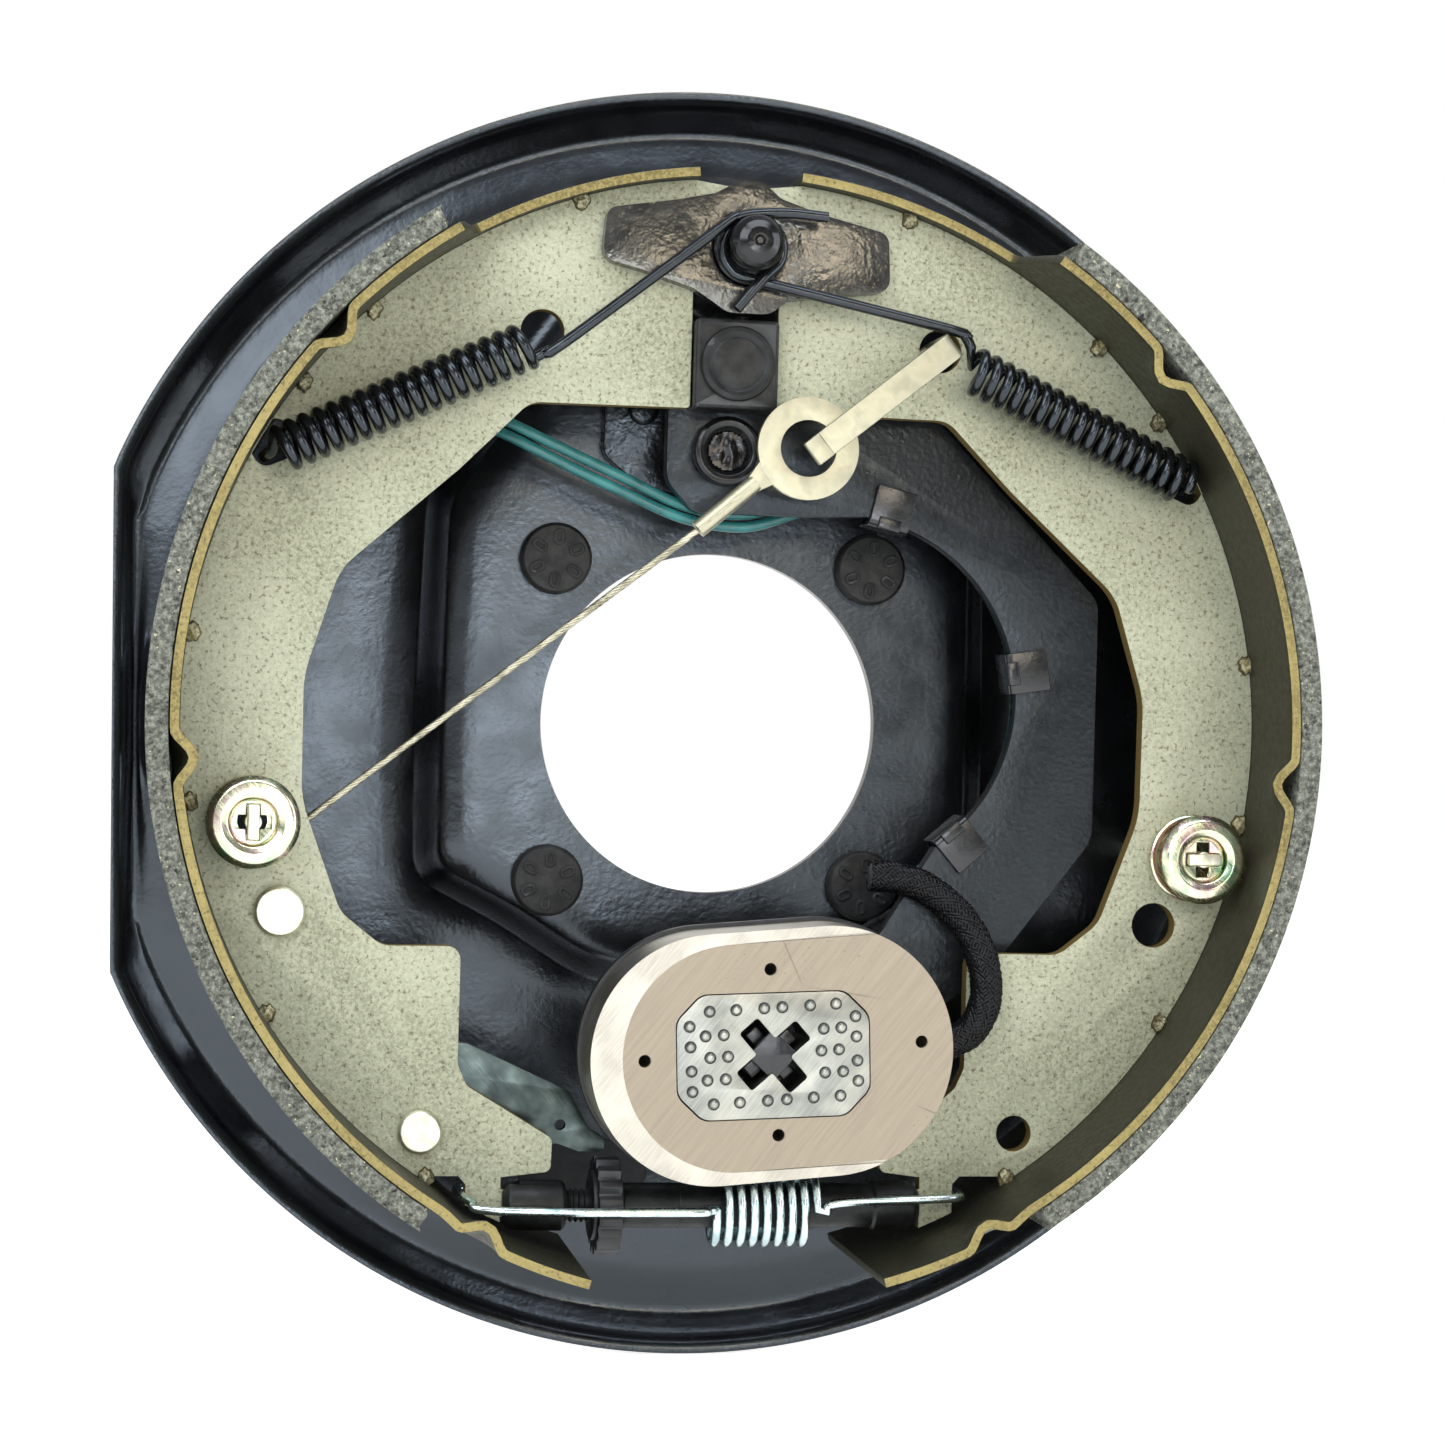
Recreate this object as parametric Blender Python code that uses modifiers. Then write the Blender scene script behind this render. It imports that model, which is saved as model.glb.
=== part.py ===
"""Electric trailer brake assembly for a 10 inch drum, right-hand side.

A pressed backing plate carries two brake shoes, an electromagnet on a swinging lever
and a cable-worked self-adjuster. The plate stands upright, its open face looks
towards -Y, and the origin lies on the axle's axis where the axle flange meets the plate.
All sizes are in millimetres and turn into metres in one place, the value MM.
"""
import bisect
import math

import bmesh
import bpy
from mathutils import Matrix, Vector

MM = 0.001
GAP = 0.3

# Driving dimensions of the drum and the shoes
LINING_RADIUS = 126.5
LINING_THICK = 4.7
LINING_FRONT = -59.0
LINING_BACK = -2.0
LINING_TOP_ANGLE = 57.0
LINING_BOTTOM_ANGLE = -57.8
TABLE_RADIUS = LINING_RADIUS - LINING_THICK - GAP
TABLE_THICK = 2.0
TABLE_TIP_TOP_ANGLE = 84.8
TABLE_TIP_BOTTOM_ANGLE = -75.0
TABLE_TIP_INSET = 21.0
TABLE_FLARE = 1.8
DENT_DEPTH = 3.6
DENT_ANGLES = (41.5, -4.8, -63.2)
WEB_RADIUS = TABLE_RADIUS - TABLE_THICK - 0.5
WEB_FRONT = -34.0
WEB_BACK = -30.0

# Driving dimensions of the pressed backing plate
PLATE_THICK = 3.0
PLATE_RADIUS = 145.8
PLATE_FLAT = 133.3
PLATE_BORE = 38.8
BOSS_FRONT = -3.0
FLOOR_FRONT = 7.0
PAD_FRONT = LINING_BACK + 0.4
LIP_FRONT = 2.6

# Mounting studs on a square pattern
STUD_PATTERN = 36.5
STUD_RADIUS = 5.5
STUD_HEAD_RADIUS = 8.1
STUD_LENGTH = 28.0

# Anchor post, lever pivot and actuating lever
POST = (0.0, 103.8)
POST_RADIUS = 9.6
PIVOT = (-2.2, 60.2)
LEVER_FRONT = -27.5
LEVER_BACK = -23.0
LEVER_ARC = (25.5, 7.0)
LEVER_ARC_RADIUS = 40.3
BLOCK_CENTRE = (-2.0, 78.5)
BLOCK_SIZE = (18.4, 19.6)
BLOCK_FRONT = -38.0

# Electromagnet, an oval that leans a few degrees
MAGNET = (5.7, -69.6)
MAGNET_TILT = 5.0
MAGNET_FRONT = -61.0
MAGNET_BACK = -36.0
HOUSING_STEP = -42.2
HOUSING_STEP_IN = 4.2
MAGNET_HALF_LENGTH = 39.0
MAGNET_END_RADIUS = 26.5
SHELL_BACK = -45.4
FACING_THICK = 0.9
CORE_SIZE = (41.3, 26.3)

# Adjusting screw across the bottom
SCREW_Y = -32.0
SCREW_Z = -105.8
SOCKET_RADIUS = 5.5
STAR_RADIUS = 10.8
STAR_TEETH = 16

# Self-adjusting cable and its lever
EYE = (13.4, 60.4)
EYE_FRONT = -42.6
EYE_THICK = 1.6
CABLE_DIAMETER = 1.6
GUIDE_RADIUS = 10.6
CABLE_HOOK = (-61.0, -76.0)
ADJUSTER_FRONT = -29.6
ADJUSTER_BACK = -27.1

# Hold-downs, springs and leads
HOLD_DOWNS = {"left": (-103.7, -23.3), "right": (105.0, -27.2)}
RETURN_WIRE = 2.4
RETURN_COIL_RADIUS = 4.3
LEAD_DIAMETER = 2.4
LEAD_HOLE = (-70.7, 70.7)
SLEEVE_DIAMETER = 6.5
ADJUSTING_SLOT = (-25.0, -104.0)

# What differs between the two webs, as distances from the middle
WEB_SIDES = {
    "left": {"sign": -1, "gate": 11.6, "seat_start": -29.0, "leg": (48.4, 56.0), "step": 58.4, "toe": 37.4,
             "toe_top": -91.0},
    "right": {"sign": 1, "gate": 7.6, "seat_start": -36.0, "leg": (44.9, 52.4), "step": 54.4, "toe": 35.6,
              "toe_top": -94.5},
}
SPRING_HOLE = (103.6, 57.0, 5.0)
LINK_HOLE = (44.4, 84.0, 4.8)
UPPER_HOLE = (97.4, -42.6, 5.0)
LOWER_HOLE = (66.2, -89.6, 4.0)
GUIDE = (-UPPER_HOLE[0], UPPER_HOLE[1])

for old in list(bpy.data.objects):
    bpy.data.objects.remove(old, do_unlink=True)

brake = bpy.data.collections.new("electric_trailer_brake")
cutters = bpy.data.collections.new("cutters")
for group in (brake, cutters):
    bpy.context.scene.collection.children.link(group)


def finish(name, colour, roughness, metallic):
    """A plain Principled material from a colour, a roughness and a metallic value."""
    material = bpy.data.materials.new(name)
    material.use_nodes = True
    shader = material.node_tree.nodes["Principled BSDF"]
    shader.inputs["Base Color"].default_value = (*colour, 1.0)
    shader.inputs["Roughness"].default_value = roughness
    shader.inputs["Metallic"].default_value = metallic
    return material


BLACK_COAT = finish("black_coat", (0.018, 0.020, 0.024), 0.35, 0.0)
BLACK_STEEL = finish("black_steel", (0.025, 0.026, 0.028), 0.45, 0.3)
STUD_STEEL = finish("stud_steel", (0.045, 0.043, 0.040), 0.5, 0.6)
YELLOW_ZINC = finish("yellow_zinc", (0.36, 0.33, 0.20), 0.45, 0.8)
BRIGHT_ZINC = finish("bright_zinc", (0.62, 0.66, 0.70), 0.28, 1.0)
CUP_ZINC = finish("cup_zinc", (0.60, 0.62, 0.42), 0.25, 1.0)
PINK_ZINC = finish("pink_zinc", (0.62, 0.42, 0.36), 0.3, 1.0)
LINING_GREY = finish("lining_grey", (0.16, 0.16, 0.16), 0.9, 0.0)
SPRING_BLACK = finish("spring_black", (0.012, 0.012, 0.014), 0.25, 0.1)
CABLE_STEEL = finish("cable_steel", (0.50, 0.49, 0.44), 0.4, 0.9)
MAGNET_STEEL = finish("magnet_steel", (0.55, 0.58, 0.60), 0.35, 1.0)
MAGNET_FILL = finish("magnet_fill", (0.56, 0.46, 0.37), 0.7, 0.0)
BLACK_PLASTIC = finish("black_plastic", (0.016, 0.016, 0.017), 0.5, 0.0)
LEAD_GREEN = finish("lead_green", (0.02, 0.22, 0.18), 0.4, 0.0)
BRAID_BLACK = finish("braid_black", (0.012, 0.012, 0.016), 0.7, 0.0)
RUBBER = finish("rubber", (0.014, 0.014, 0.014), 0.8, 0.0)


def polar(radius, degrees, centre=(0.0, 0.0)):
    """The point at a radius and an angle round a centre, in the plate's plane."""
    angle = math.radians(degrees)
    return (centre[0] + radius * math.cos(angle), centre[1] + radius * math.sin(angle))


def arc(centre, radius, start, end, count):
    """Points along an arc from a start angle to an end angle."""
    return [polar(radius, start + (end - start) * i / count, centre) for i in range(count + 1)]


def circle(centre, radius, count=16):
    """A closed loop of points round a centre."""
    return arc(centre, radius, 0.0, 360.0, count)[:-1]


def rounded(corners, steps=2):
    """A closed loop from corners (x, z, radius), each rounded by its own radius."""
    loop = []
    for i, (x, z, radius) in enumerate(corners):
        here = Vector((x, z))
        if radius == 0:
            loop.append((x, z))
            continue
        before = Vector(corners[i - 1][:2]) - here
        after = Vector(corners[(i + 1) % len(corners)][:2]) - here
        half = before.angle(after) / 2
        reach = radius / math.tan(half)
        centre = here + (before.normalized() + after.normalized()).normalized() * radius / math.sin(half)
        first = here + before.normalized() * reach - centre
        last = here + after.normalized() * reach - centre
        start = math.degrees(math.atan2(first.y, first.x))
        turn = (math.degrees(math.atan2(last.y, last.x)) - start + 180.0) % 360.0 - 180.0
        loop += arc(centre, radius, start, start + turn, steps)
    return loop


def stadium(half_length, radius, count=12):
    """A closed loop with straight sides and round ends, centred on the origin."""
    run = half_length - radius
    return arc((run, 0), radius, -90, 90, count) + arc((-run, 0), radius, 90, 270, count)


def placed(loop, centre, degrees=0.0):
    """A loop turned by an angle and moved to a centre."""
    c, s = math.cos(math.radians(degrees)), math.sin(math.radians(degrees))
    return [(centre[0] + x * c - z * s, centre[1] + x * s + z * c) for x, z in loop]


def mirrored(loop, sign):
    """The loop as drawn for +1, or its mirror image in the middle plane for -1."""
    return [(sign * x, z) for x, z in loop]


def keep(obj, material, collection=brake):
    """Give an object its finish and put it in its collection."""
    if material:
        obj.data.materials.append(material)
    collection.objects.link(obj)
    return obj


def as_mesh(obj):
    """Turn a curve object into a mesh object of the same name, with its caps welded."""
    bpy.context.scene.collection.objects.link(obj)
    bpy.context.view_layer.update()
    mesh = bpy.data.meshes.new_from_object(obj.evaluated_get(bpy.context.evaluated_depsgraph_get()))
    place = obj.matrix_world.copy()
    name = obj.name
    bpy.data.objects.remove(obj)
    work = bmesh.new()
    work.from_mesh(mesh)
    bmesh.ops.remove_doubles(work, verts=work.verts, dist=0.002 * MM)
    work.to_mesh(mesh)
    work.free()
    solid = bpy.data.objects.new(name, mesh)
    solid.matrix_world = place
    return solid


def soften(obj, width, segments=1):
    """Round off the sharp edges of a solid."""
    bevel = obj.modifiers.new("edge", "BEVEL")
    bevel.width = width * MM
    bevel.segments = segments
    bevel.limit_method = "ANGLE"
    bevel.angle_limit = math.radians(50)
    return obj


def flat_part(name, loops, front, back, material, edge=0.0, collection=brake):
    """A flat piece in the plate's plane: an outline, its holes, and two depths along Y."""
    curve = bpy.data.curves.new(name, "CURVE")
    curve.dimensions = "2D"
    curve.fill_mode = "BOTH"
    curve.extrude = (back - front) / 2 * MM
    for loop in loops:
        spline = curve.splines.new("POLY")
        spline.points.add(len(loop) - 1)
        spline.use_cyclic_u = True
        for point, (x, z) in zip(spline.points, loop):
            point.co = (x * MM, z * MM, 0.0, 1.0)
    obj = bpy.data.objects.new(name, curve)
    obj.rotation_euler = (math.pi / 2, 0.0, 0.0)
    obj.location.y = (front + back) / 2 * MM
    solid = keep(as_mesh(obj), material, collection)
    if edge:
        soften(solid, edge)
    return solid


def turned(name, profile, centre, material, axis="Y", steps=16):
    """A turned piece: (radius, position) points run down the outer side of the profile.

    Along Y the positions are depths and the profile starts at the front. Along X they
    are X positions and it starts at the right-hand end.
    """
    mesh = bpy.data.meshes.new(name)
    heights = [-at if axis == "Y" else at for _, at in profile]
    points = [(radius * MM, 0.0, height * MM) for (radius, _), height in zip(profile, heights)]
    edges = [(i, i + 1) for i in range(len(points) - 1)]
    if profile[0] == profile[-1]:
        points.pop()
        edges[-1] = (len(points) - 1, 0)
    mesh.from_pydata(points, edges, [])
    obj = bpy.data.objects.new(name, mesh)
    if axis == "Y":
        obj.rotation_euler = (math.pi / 2, 0.0, 0.0)
        obj.location = (centre[0] * MM, 0.0, centre[1] * MM)
    else:
        obj.rotation_euler = (0.0, math.pi / 2, 0.0)
        obj.location = (0.0, centre[0] * MM, centre[1] * MM)
    screw = obj.modifiers.new("turn", "SCREW")
    screw.steps = steps
    screw.render_steps = steps
    screw.use_merge_vertices = True
    screw.merge_threshold = 0.00001
    return keep(obj, material)


def wire(name, points, diameter, material, resolution=0):
    """A round wire or cord along points given as (x, y, z)."""
    curve = bpy.data.curves.new(name, "CURVE")
    curve.dimensions = "3D"
    curve.bevel_depth = diameter / 2 * MM
    curve.bevel_resolution = resolution
    curve.use_fill_caps = True
    spline = curve.splines.new("POLY")
    spline.points.add(len(points) - 1)
    for point, place in zip(spline.points, points):
        point.co = (*(Vector(place) * MM), 1.0)
    return keep(bpy.data.objects.new(name, curve), material)


def block(name, low, high, material, edge=0.0, collection=brake):
    """A box between two corners."""
    low, high = Vector(low) * MM, Vector(high) * MM
    work = bmesh.new()
    bmesh.ops.create_cube(work, size=1.0)
    bmesh.ops.scale(work, verts=work.verts, vec=high - low)
    mesh = bpy.data.meshes.new(name)
    work.to_mesh(mesh)
    work.free()
    obj = bpy.data.objects.new(name, mesh)
    obj.location = (low + high) / 2
    keep(obj, material, collection)
    return soften(obj, edge) if edge else obj


def combine(obj, tool, operation):
    """Cut a tool from a solid, or join it on, with a Boolean."""
    tool.hide_render = True
    tool.display_type = "WIRE"
    boolean = obj.modifiers.new(operation.lower(), "BOOLEAN")
    boolean.operation = operation
    boolean.object = tool
    return obj


def drill(obj, x, z, radius, front, back, sides=14):
    """Drill a round hole along Y."""
    tool = flat_part(f"drill_{len(cutters.objects)}", [circle((x, z), radius, sides)], front, back, None,
                     collection=cutters)
    return combine(obj, tool, "DIFFERENCE")


def smooth_path(points, spacing):
    """Points about a spacing apart on a Catmull-Rom curve through the given points."""
    knots = [Vector(p) for p in points]
    knots = [2 * knots[0] - knots[1], *knots, 2 * knots[-1] - knots[-2]]
    path = [knots[1]]
    for i in range(1, len(knots) - 2):
        a, b, c, d = knots[i - 1:i + 3]
        count = max(1, round((c - b).length / spacing))
        for k in range(1, count + 1):
            t = k / count
            path.append(0.5 * (2 * b + (c - a) * t + (2 * a - 5 * b + 4 * c - d) * t ** 2
                               + (3 * b - a - 3 * c + d) * t ** 3))
    return [tuple(p) for p in path]


def coil(start, end, radius, turns, first_angle, per_turn=7):
    """Points of a coil between two axis ends, its angle measured from the front."""
    start, end = Vector(start), Vector(end)
    along = (end - start).normalized()
    front = Vector((0, -1, 0)) if abs(along.y) < 0.9 else Vector((1, 0, 0))
    side = along.cross(front).normalized()
    front = side.cross(along)
    count = round(turns * per_turn)
    points = []
    for i in range(count + 1):
        angle = math.radians(first_angle + 360.0 * turns * i / count)
        points.append(tuple(start.lerp(end, i / count)
                            + radius * (front * math.cos(angle) + side * math.sin(angle))))
    return points


def hinge_point(name, place):
    """An empty on a joint's axis, which carries the pieces of a moving body."""
    empty = bpy.data.objects.new(name, None)
    empty.location = Vector(place) * MM
    empty.empty_display_size = 5 * MM
    brake.objects.link(empty)
    return empty


def carry(empty, pieces):
    """Parent pieces to an empty without moving them."""
    bpy.context.view_layer.update()
    for piece in pieces:
        piece.parent = empty
        piece.matrix_parent_inverse = empty.matrix_world.inverted()


# The pressed backing plate
BOSS_HALF = [(0.0, 117.0), (16.0, 114.5), (25.0, 98.0), (60.0, 48.0), (60.5, -33.5), (42.0, -42.5),
             (26.0, -52.5), (0.0, -58.5)]
BOSS_OUTLINE = BOSS_HALF + [(-x, z) for x, z in reversed(BOSS_HALF[1:-1])]
PAD_ANGLES = (30.0, 0.0, -40.0, 140.0, 180.0, 220.0)
PAD_HALF_ANGLE = 6.0
PLATE_STEPS = 50


def boss_reach(degrees):
    """How far the raised boss reaches from the axis in a direction."""
    ray = Vector(polar(1.0, degrees))
    for (ax, az), (bx, bz) in zip(BOSS_OUTLINE, BOSS_OUTLINE[1:] + BOSS_OUTLINE[:1]):
        edge = Vector((bx - ax, bz - az))
        across = ray.x * edge.y - ray.y * edge.x
        if abs(across) < 1e-9:
            continue
        along_ray = (ax * edge.y - az * edge.x) / across
        along_edge = (ax * ray.y - az * ray.x) / across
        if along_ray > 0 and -1e-6 <= along_edge <= 1 + 1e-6:
            return along_ray
    raise ValueError("the boss outline is open")


def plate_section(degrees):
    """The plate's front surface in one direction, as (radius, depth) from bore to lip."""
    boss = sum(boss_reach(degrees + turn) for turn in (-4.0, -2.0, 0.0, 2.0, 4.0)) / 5
    off_pad = min(abs((degrees - pad + 180) % 360 - 180) for pad in PAD_ANGLES)
    pad = PAD_FRONT if off_pad <= PAD_HALF_ANGLE else FLOOR_FRONT
    section = [(PLATE_BORE, BOSS_FRONT), (boss - 4.0, BOSS_FRONT), (boss, BOSS_FRONT), (boss + 7.0, FLOOR_FRONT),
               (113.0, FLOOR_FRONT), (116.0, pad), (124.0, pad), (127.5, FLOOR_FRONT),
               (137.0, FLOOR_FRONT + 2.6), (142.5, FLOOR_FRONT - 1.5), (143.3, LIP_FRONT),
               (PLATE_RADIUS, LIP_FRONT)]
    flat_limits = (0, 0, 0, 0, 0, 0, 124.2, 126.4, 128.6, 130.0, 130.9, PLATE_FLAT)
    reach = -math.cos(math.radians(degrees))
    radii = []
    for (radius, _), limit in zip(section, flat_limits):
        if limit and reach > 0:
            radius = min(radius, limit / reach)
        radii.append(max(radius, radii[-1] + 0.5) if radii else radius)
    return [(radius, depth) for radius, (_, depth) in zip(radii, section)]


def backing_plate():
    """The plate's rings of points, skinned and thickened backwards."""
    work = bmesh.new()
    rings = []
    for i in range(PLATE_STEPS):
        degrees = 360.0 * i / PLATE_STEPS
        spoke = []
        for radius, depth in plate_section(degrees):
            x, z = polar(radius, degrees)
            spoke.append(work.verts.new((x * MM, depth * MM, z * MM)))
        rings.append(spoke)
    for spoke, following in zip(rings, rings[1:] + rings[:1]):
        for k in range(len(spoke) - 1):
            work.faces.new((spoke[k], spoke[k + 1], following[k + 1], following[k]))
    bmesh.ops.recalc_face_normals(work, faces=work.faces)
    mesh = bpy.data.meshes.new("backing_plate")
    work.to_mesh(mesh)
    work.free()
    front_is_out = mesh.polygons[0].normal.y < 0
    obj = keep(bpy.data.objects.new("backing_plate", mesh), BLACK_COAT)
    shell = obj.modifiers.new("sheet", "SOLIDIFY")
    shell.thickness = PLATE_THICK * MM
    shell.offset = -1.0 if front_is_out else 1.0
    for x in (-STUD_PATTERN, STUD_PATTERN):
        for z in (-STUD_PATTERN, STUD_PATTERN):
            drill(obj, x, z, STUD_RADIUS + 0.4, -8, 8)
    drill(obj, *POST, 6.4, -8, 8)
    drill(obj, *PIVOT, 5.4, -8, 8)
    for centre in HOLD_DOWNS.values():
        drill(obj, *centre, 2.6, -6, 14, 10)
    drill(obj, *LEAD_HOLE, 5.4, 2, 14)
    slot = flat_part("slot_cutter", [placed(stadium(13.0, 5.0, 6), ADJUSTING_SLOT)], 2, 14, None,
                     collection=cutters)
    combine(obj, slot, "DIFFERENCE")
    return obj


def mounting_stud(name, x, z):
    """A pressed-in stud: a flat head, and a shank out of the back."""
    head = BOSS_FRONT - GAP - 3.5
    profile = [(0.0, head), (7.4, head),
               (STUD_HEAD_RADIUS, head + 0.7), (STUD_HEAD_RADIUS, BOSS_FRONT - GAP),
               (STUD_RADIUS, BOSS_FRONT - GAP), (STUD_RADIUS, STUD_LENGTH - 1.2),
               (STUD_RADIUS - 1.2, STUD_LENGTH), (0.0, STUD_LENGTH)]
    return turned(name, profile, (x, z), STUD_STEEL, steps=14)


def plate_fittings():
    """Studs, anchor post, guide plate, bracket, pivot pin, grommet and slot plug."""
    for side, x in (("left", -STUD_PATTERN), ("right", STUD_PATTERN)):
        for level, z in (("upper", STUD_PATTERN), ("lower", -STUD_PATTERN)):
            mounting_stud(f"stud_{level}_{side}", x, z)
    turned("anchor_post", [(0.0, -49.9), (1.2, -49.9), (1.6, -50.5), (4.8, -50.5), (6.0, -49.4), (6.0, -46.6),
                           (4.2, -46.4), (4.2, -38.9), (7.4, -38.9), (8.0, -38.3), (8.0, -34.1),
                           (POST_RADIUS, -34.1), (POST_RADIUS, -8.0), (13.0, -8.0), (13.0, -3.3),
                           (6.0, -3.3), (6.0, 0.3), (9.0, 0.3), (8.0, 3.4), (0.0, 3.4)],
           POST, BLACK_STEEL)
    bow = rounded([(-31.4, 111.0, 2.5), (-32.4, 100.0, 3.5), (-23.0, 97.8, 4), (-12.0, 94.4, 4),
                   (-4.6, 89.6, 5), (4.8, 89.6, 5), (9.0, 93.0, 4), (31.6, 96.0, 3), (31.0, 108.6, 3),
                   (15.4, 112.2, 6), (6.6, 115.0, 4), (2.6, 118.4, 4), (-2.6, 118.4, 4), (-8.0, 115.4, 4),
                   (-16.0, 113.6, 6)])
    flat_part("shoe_guide_plate", [bow, circle(POST, 8.4, 18)], -38.3, -34.3, BLACK_COAT, edge=1.0)
    bracket = rounded([(-26.6, 92.0, 3), (-26.6, 60.4, 4), (-17.0, 52.6, 3), (14.0, 52.6, 4), (20.0, 58.0, 4),
                       (20.0, 88.0, 4), (14.5, 90.2, 2), (-15.0, 90.2, 2), (-20.0, 92.0, 2)])
    bracket_part = flat_part("pivot_bracket", [bracket, circle(PIVOT, 5.5, 20)], -7.9, -3.3, BLACK_COAT, 1.0)
    nub = turned("rivet_nub", [(0.0, -9.6), (2.6, -9.6), (3.5, -8.8), (3.5, -6.0), (0.0, -6.0)],
                 (-17.9, 70.7), None, steps=14)
    brake.objects.unlink(nub)
    cutters.objects.link(nub)
    combine(bracket_part, nub, "UNION")
    turned("lever_pivot_pin", [(0.0, -29.6), (4.6, -29.6), (5.5, -31.6), (7.0, -31.6), (7.6, -31.0),
                               (7.6, -27.9), (5.2, -27.8), (5.2, -22.7), (9.0, -22.7), (9.0, -8.3),
                               (5.1, -8.3), (5.1, 0.3), (8.0, 0.3), (7.0, 3.0), (0.0, 3.0)],
           PIVOT, BLACK_STEEL)
    ring = [(3.4, FLOOR_FRONT - 4.0), (6.4, FLOOR_FRONT - 3.0), (7.4, FLOOR_FRONT - GAP), (5.0, FLOOR_FRONT - GAP),
            (5.0, FLOOR_FRONT + PLATE_THICK + GAP), (7.4, FLOOR_FRONT + PLATE_THICK + GAP),
            (6.4, FLOOR_FRONT + 6.6), (3.4, FLOOR_FRONT + 6.6), (3.4, FLOOR_FRONT - 4.0)]
    turned("lead_grommet", ring, LEAD_HOLE, RUBBER, steps=14)
    plug = [(stadium(15.0, 7.0, 6), FLOOR_FRONT - 1.4, FLOOR_FRONT - GAP),
            (stadium(15.5, 7.5, 6), FLOOR_FRONT + PLATE_THICK + GAP, FLOOR_FRONT + 6.0)]
    neck = flat_part("adjusting_slot_plug", [placed(stadium(12.6, 4.6, 6), ADJUSTING_SLOT)],
                     FLOOR_FRONT - 1.0, FLOOR_FRONT + 5.0, RUBBER)
    for i, (loop, front, back) in enumerate(plug):
        lip = flat_part(f"plug_lip_{i}", [placed(loop, ADJUSTING_SLOT)], front, back, None, collection=cutters)
        combine(neck, lip, "UNION")


def table(name, sign):
    """The curved steel table of a shoe: a narrow upper tip, a flared foot and three edge dents."""
    steps = 30
    rows = (0.0, 0.1, 0.2, 1.0)
    angles = [TABLE_TIP_BOTTOM_ANGLE + (TABLE_TIP_TOP_ANGLE - TABLE_TIP_BOTTOM_ANGLE) * i / steps
              for i in range(steps + 1)]
    for dent in DENT_ANGLES:
        for offset in (-2.6, -1.2, 1.2, 2.6):
            bisect.insort(angles, dent + offset)
    angles = [a for i, a in enumerate(angles) if i == 0 or a - angles[i - 1] > 0.7]
    work = bmesh.new()
    grid = []
    for angle in angles:
        inset = TABLE_TIP_INSET * min(1.0, max(0.0, (angle - LINING_TOP_ANGLE - 0.5) / 3.0))
        flare = TABLE_FLARE * min(1.0, max(0.0, (LINING_BOTTOM_ANGLE - angle) / 5.0))
        dent = max(max(0.0, 1 - abs(angle - centre) / 2.7) for centre in DENT_ANGLES)
        dent = dent * dent * (3 - 2 * dent)
        column = []
        for row in rows:
            depth = LINING_FRONT + inset + (LINING_BACK - LINING_FRONT - 2 * inset) * row
            fade = max(0.0, 1 - row / 0.2)
            radius = TABLE_RADIUS + flare - DENT_DEPTH * dent * fade
            x, z = polar(radius, angle)
            column.append(work.verts.new((sign * x * MM, depth * MM, z * MM)))
        grid.append(column)
    for column, following in zip(grid, grid[1:]):
        for k in range(len(rows) - 1):
            face = (column[k], column[k + 1], following[k + 1], following[k])
            work.faces.new(face if sign > 0 else face[::-1])
    mesh = bpy.data.meshes.new(name)
    work.to_mesh(mesh)
    work.free()
    obj = keep(bpy.data.objects.new(name, mesh), YELLOW_ZINC)
    middle = mesh.polygons[len(mesh.polygons) // 2]
    faces_out = middle.normal.dot(Vector((middle.center.x, 0, middle.center.z))) > 0
    shell = obj.modifiers.new("sheet", "SOLIDIFY")
    shell.thickness = TABLE_THICK * MM
    shell.offset = -1.0 if faces_out else 1.0
    return obj


def web_outline(side):
    """The outline of a shoe's web, from the anchor post round to its foot."""
    gate, step, toe, toe_top = side["gate"], side["step"], side["toe"], side["toe_top"]
    leg_in, leg_out = side["leg"]
    foot_in = math.sqrt(WEB_RADIUS ** 2 - leg_in ** 2)
    foot_out = math.sqrt(WEB_RADIUS ** 2 - leg_out ** 2)
    notch_angle = -math.degrees(math.asin(99.2 / WEB_RADIUS))
    foot = arc((0, 0), WEB_RADIUS, math.degrees(math.atan2(-foot_out, leg_out)),
               math.degrees(math.atan2(-foot_in, leg_in)), 2)
    tongue = [(leg_in, -108.0), (leg_in - 3.5, -107.4), (leg_in - 3.5, -103.0), (leg_in, -102.0)]
    inner = rounded([(leg_in, -99.4, 0), (toe + 0.2, -98.2, 1.6), (toe, toe_top, 2), (step - 2.0, -79.6, 3),
                     (step, -75.0, 3), (step, -49.5, 3), (75.5, -49.6, 6), (84.5, -42.5, 8),
                     (93.4, -18.5, 24), (93.6, 8.0, 24), (86.5, 31.0, 14), (61.5, 53.5, 4), (46.6, 68.6, 6),
                     (gate, 68.9, 0.8)], 2)
    seat = arc(POST, POST_RADIUS + GAP, side["seat_start"], 75.0, 6)
    inner.append((gate, seat[0][1]))
    top = [(2.6, 117.6), (12.0, math.sqrt(WEB_RADIUS ** 2 - 144.0))]
    rim = arc((0, 0), WEB_RADIUS, 83.0, notch_angle, 26)
    return mirrored(inner + seat + top + rim + [(leg_out + 1.6, -99.2), (leg_out, -101.0)] + foot + tongue,
                    side["sign"])


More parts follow.
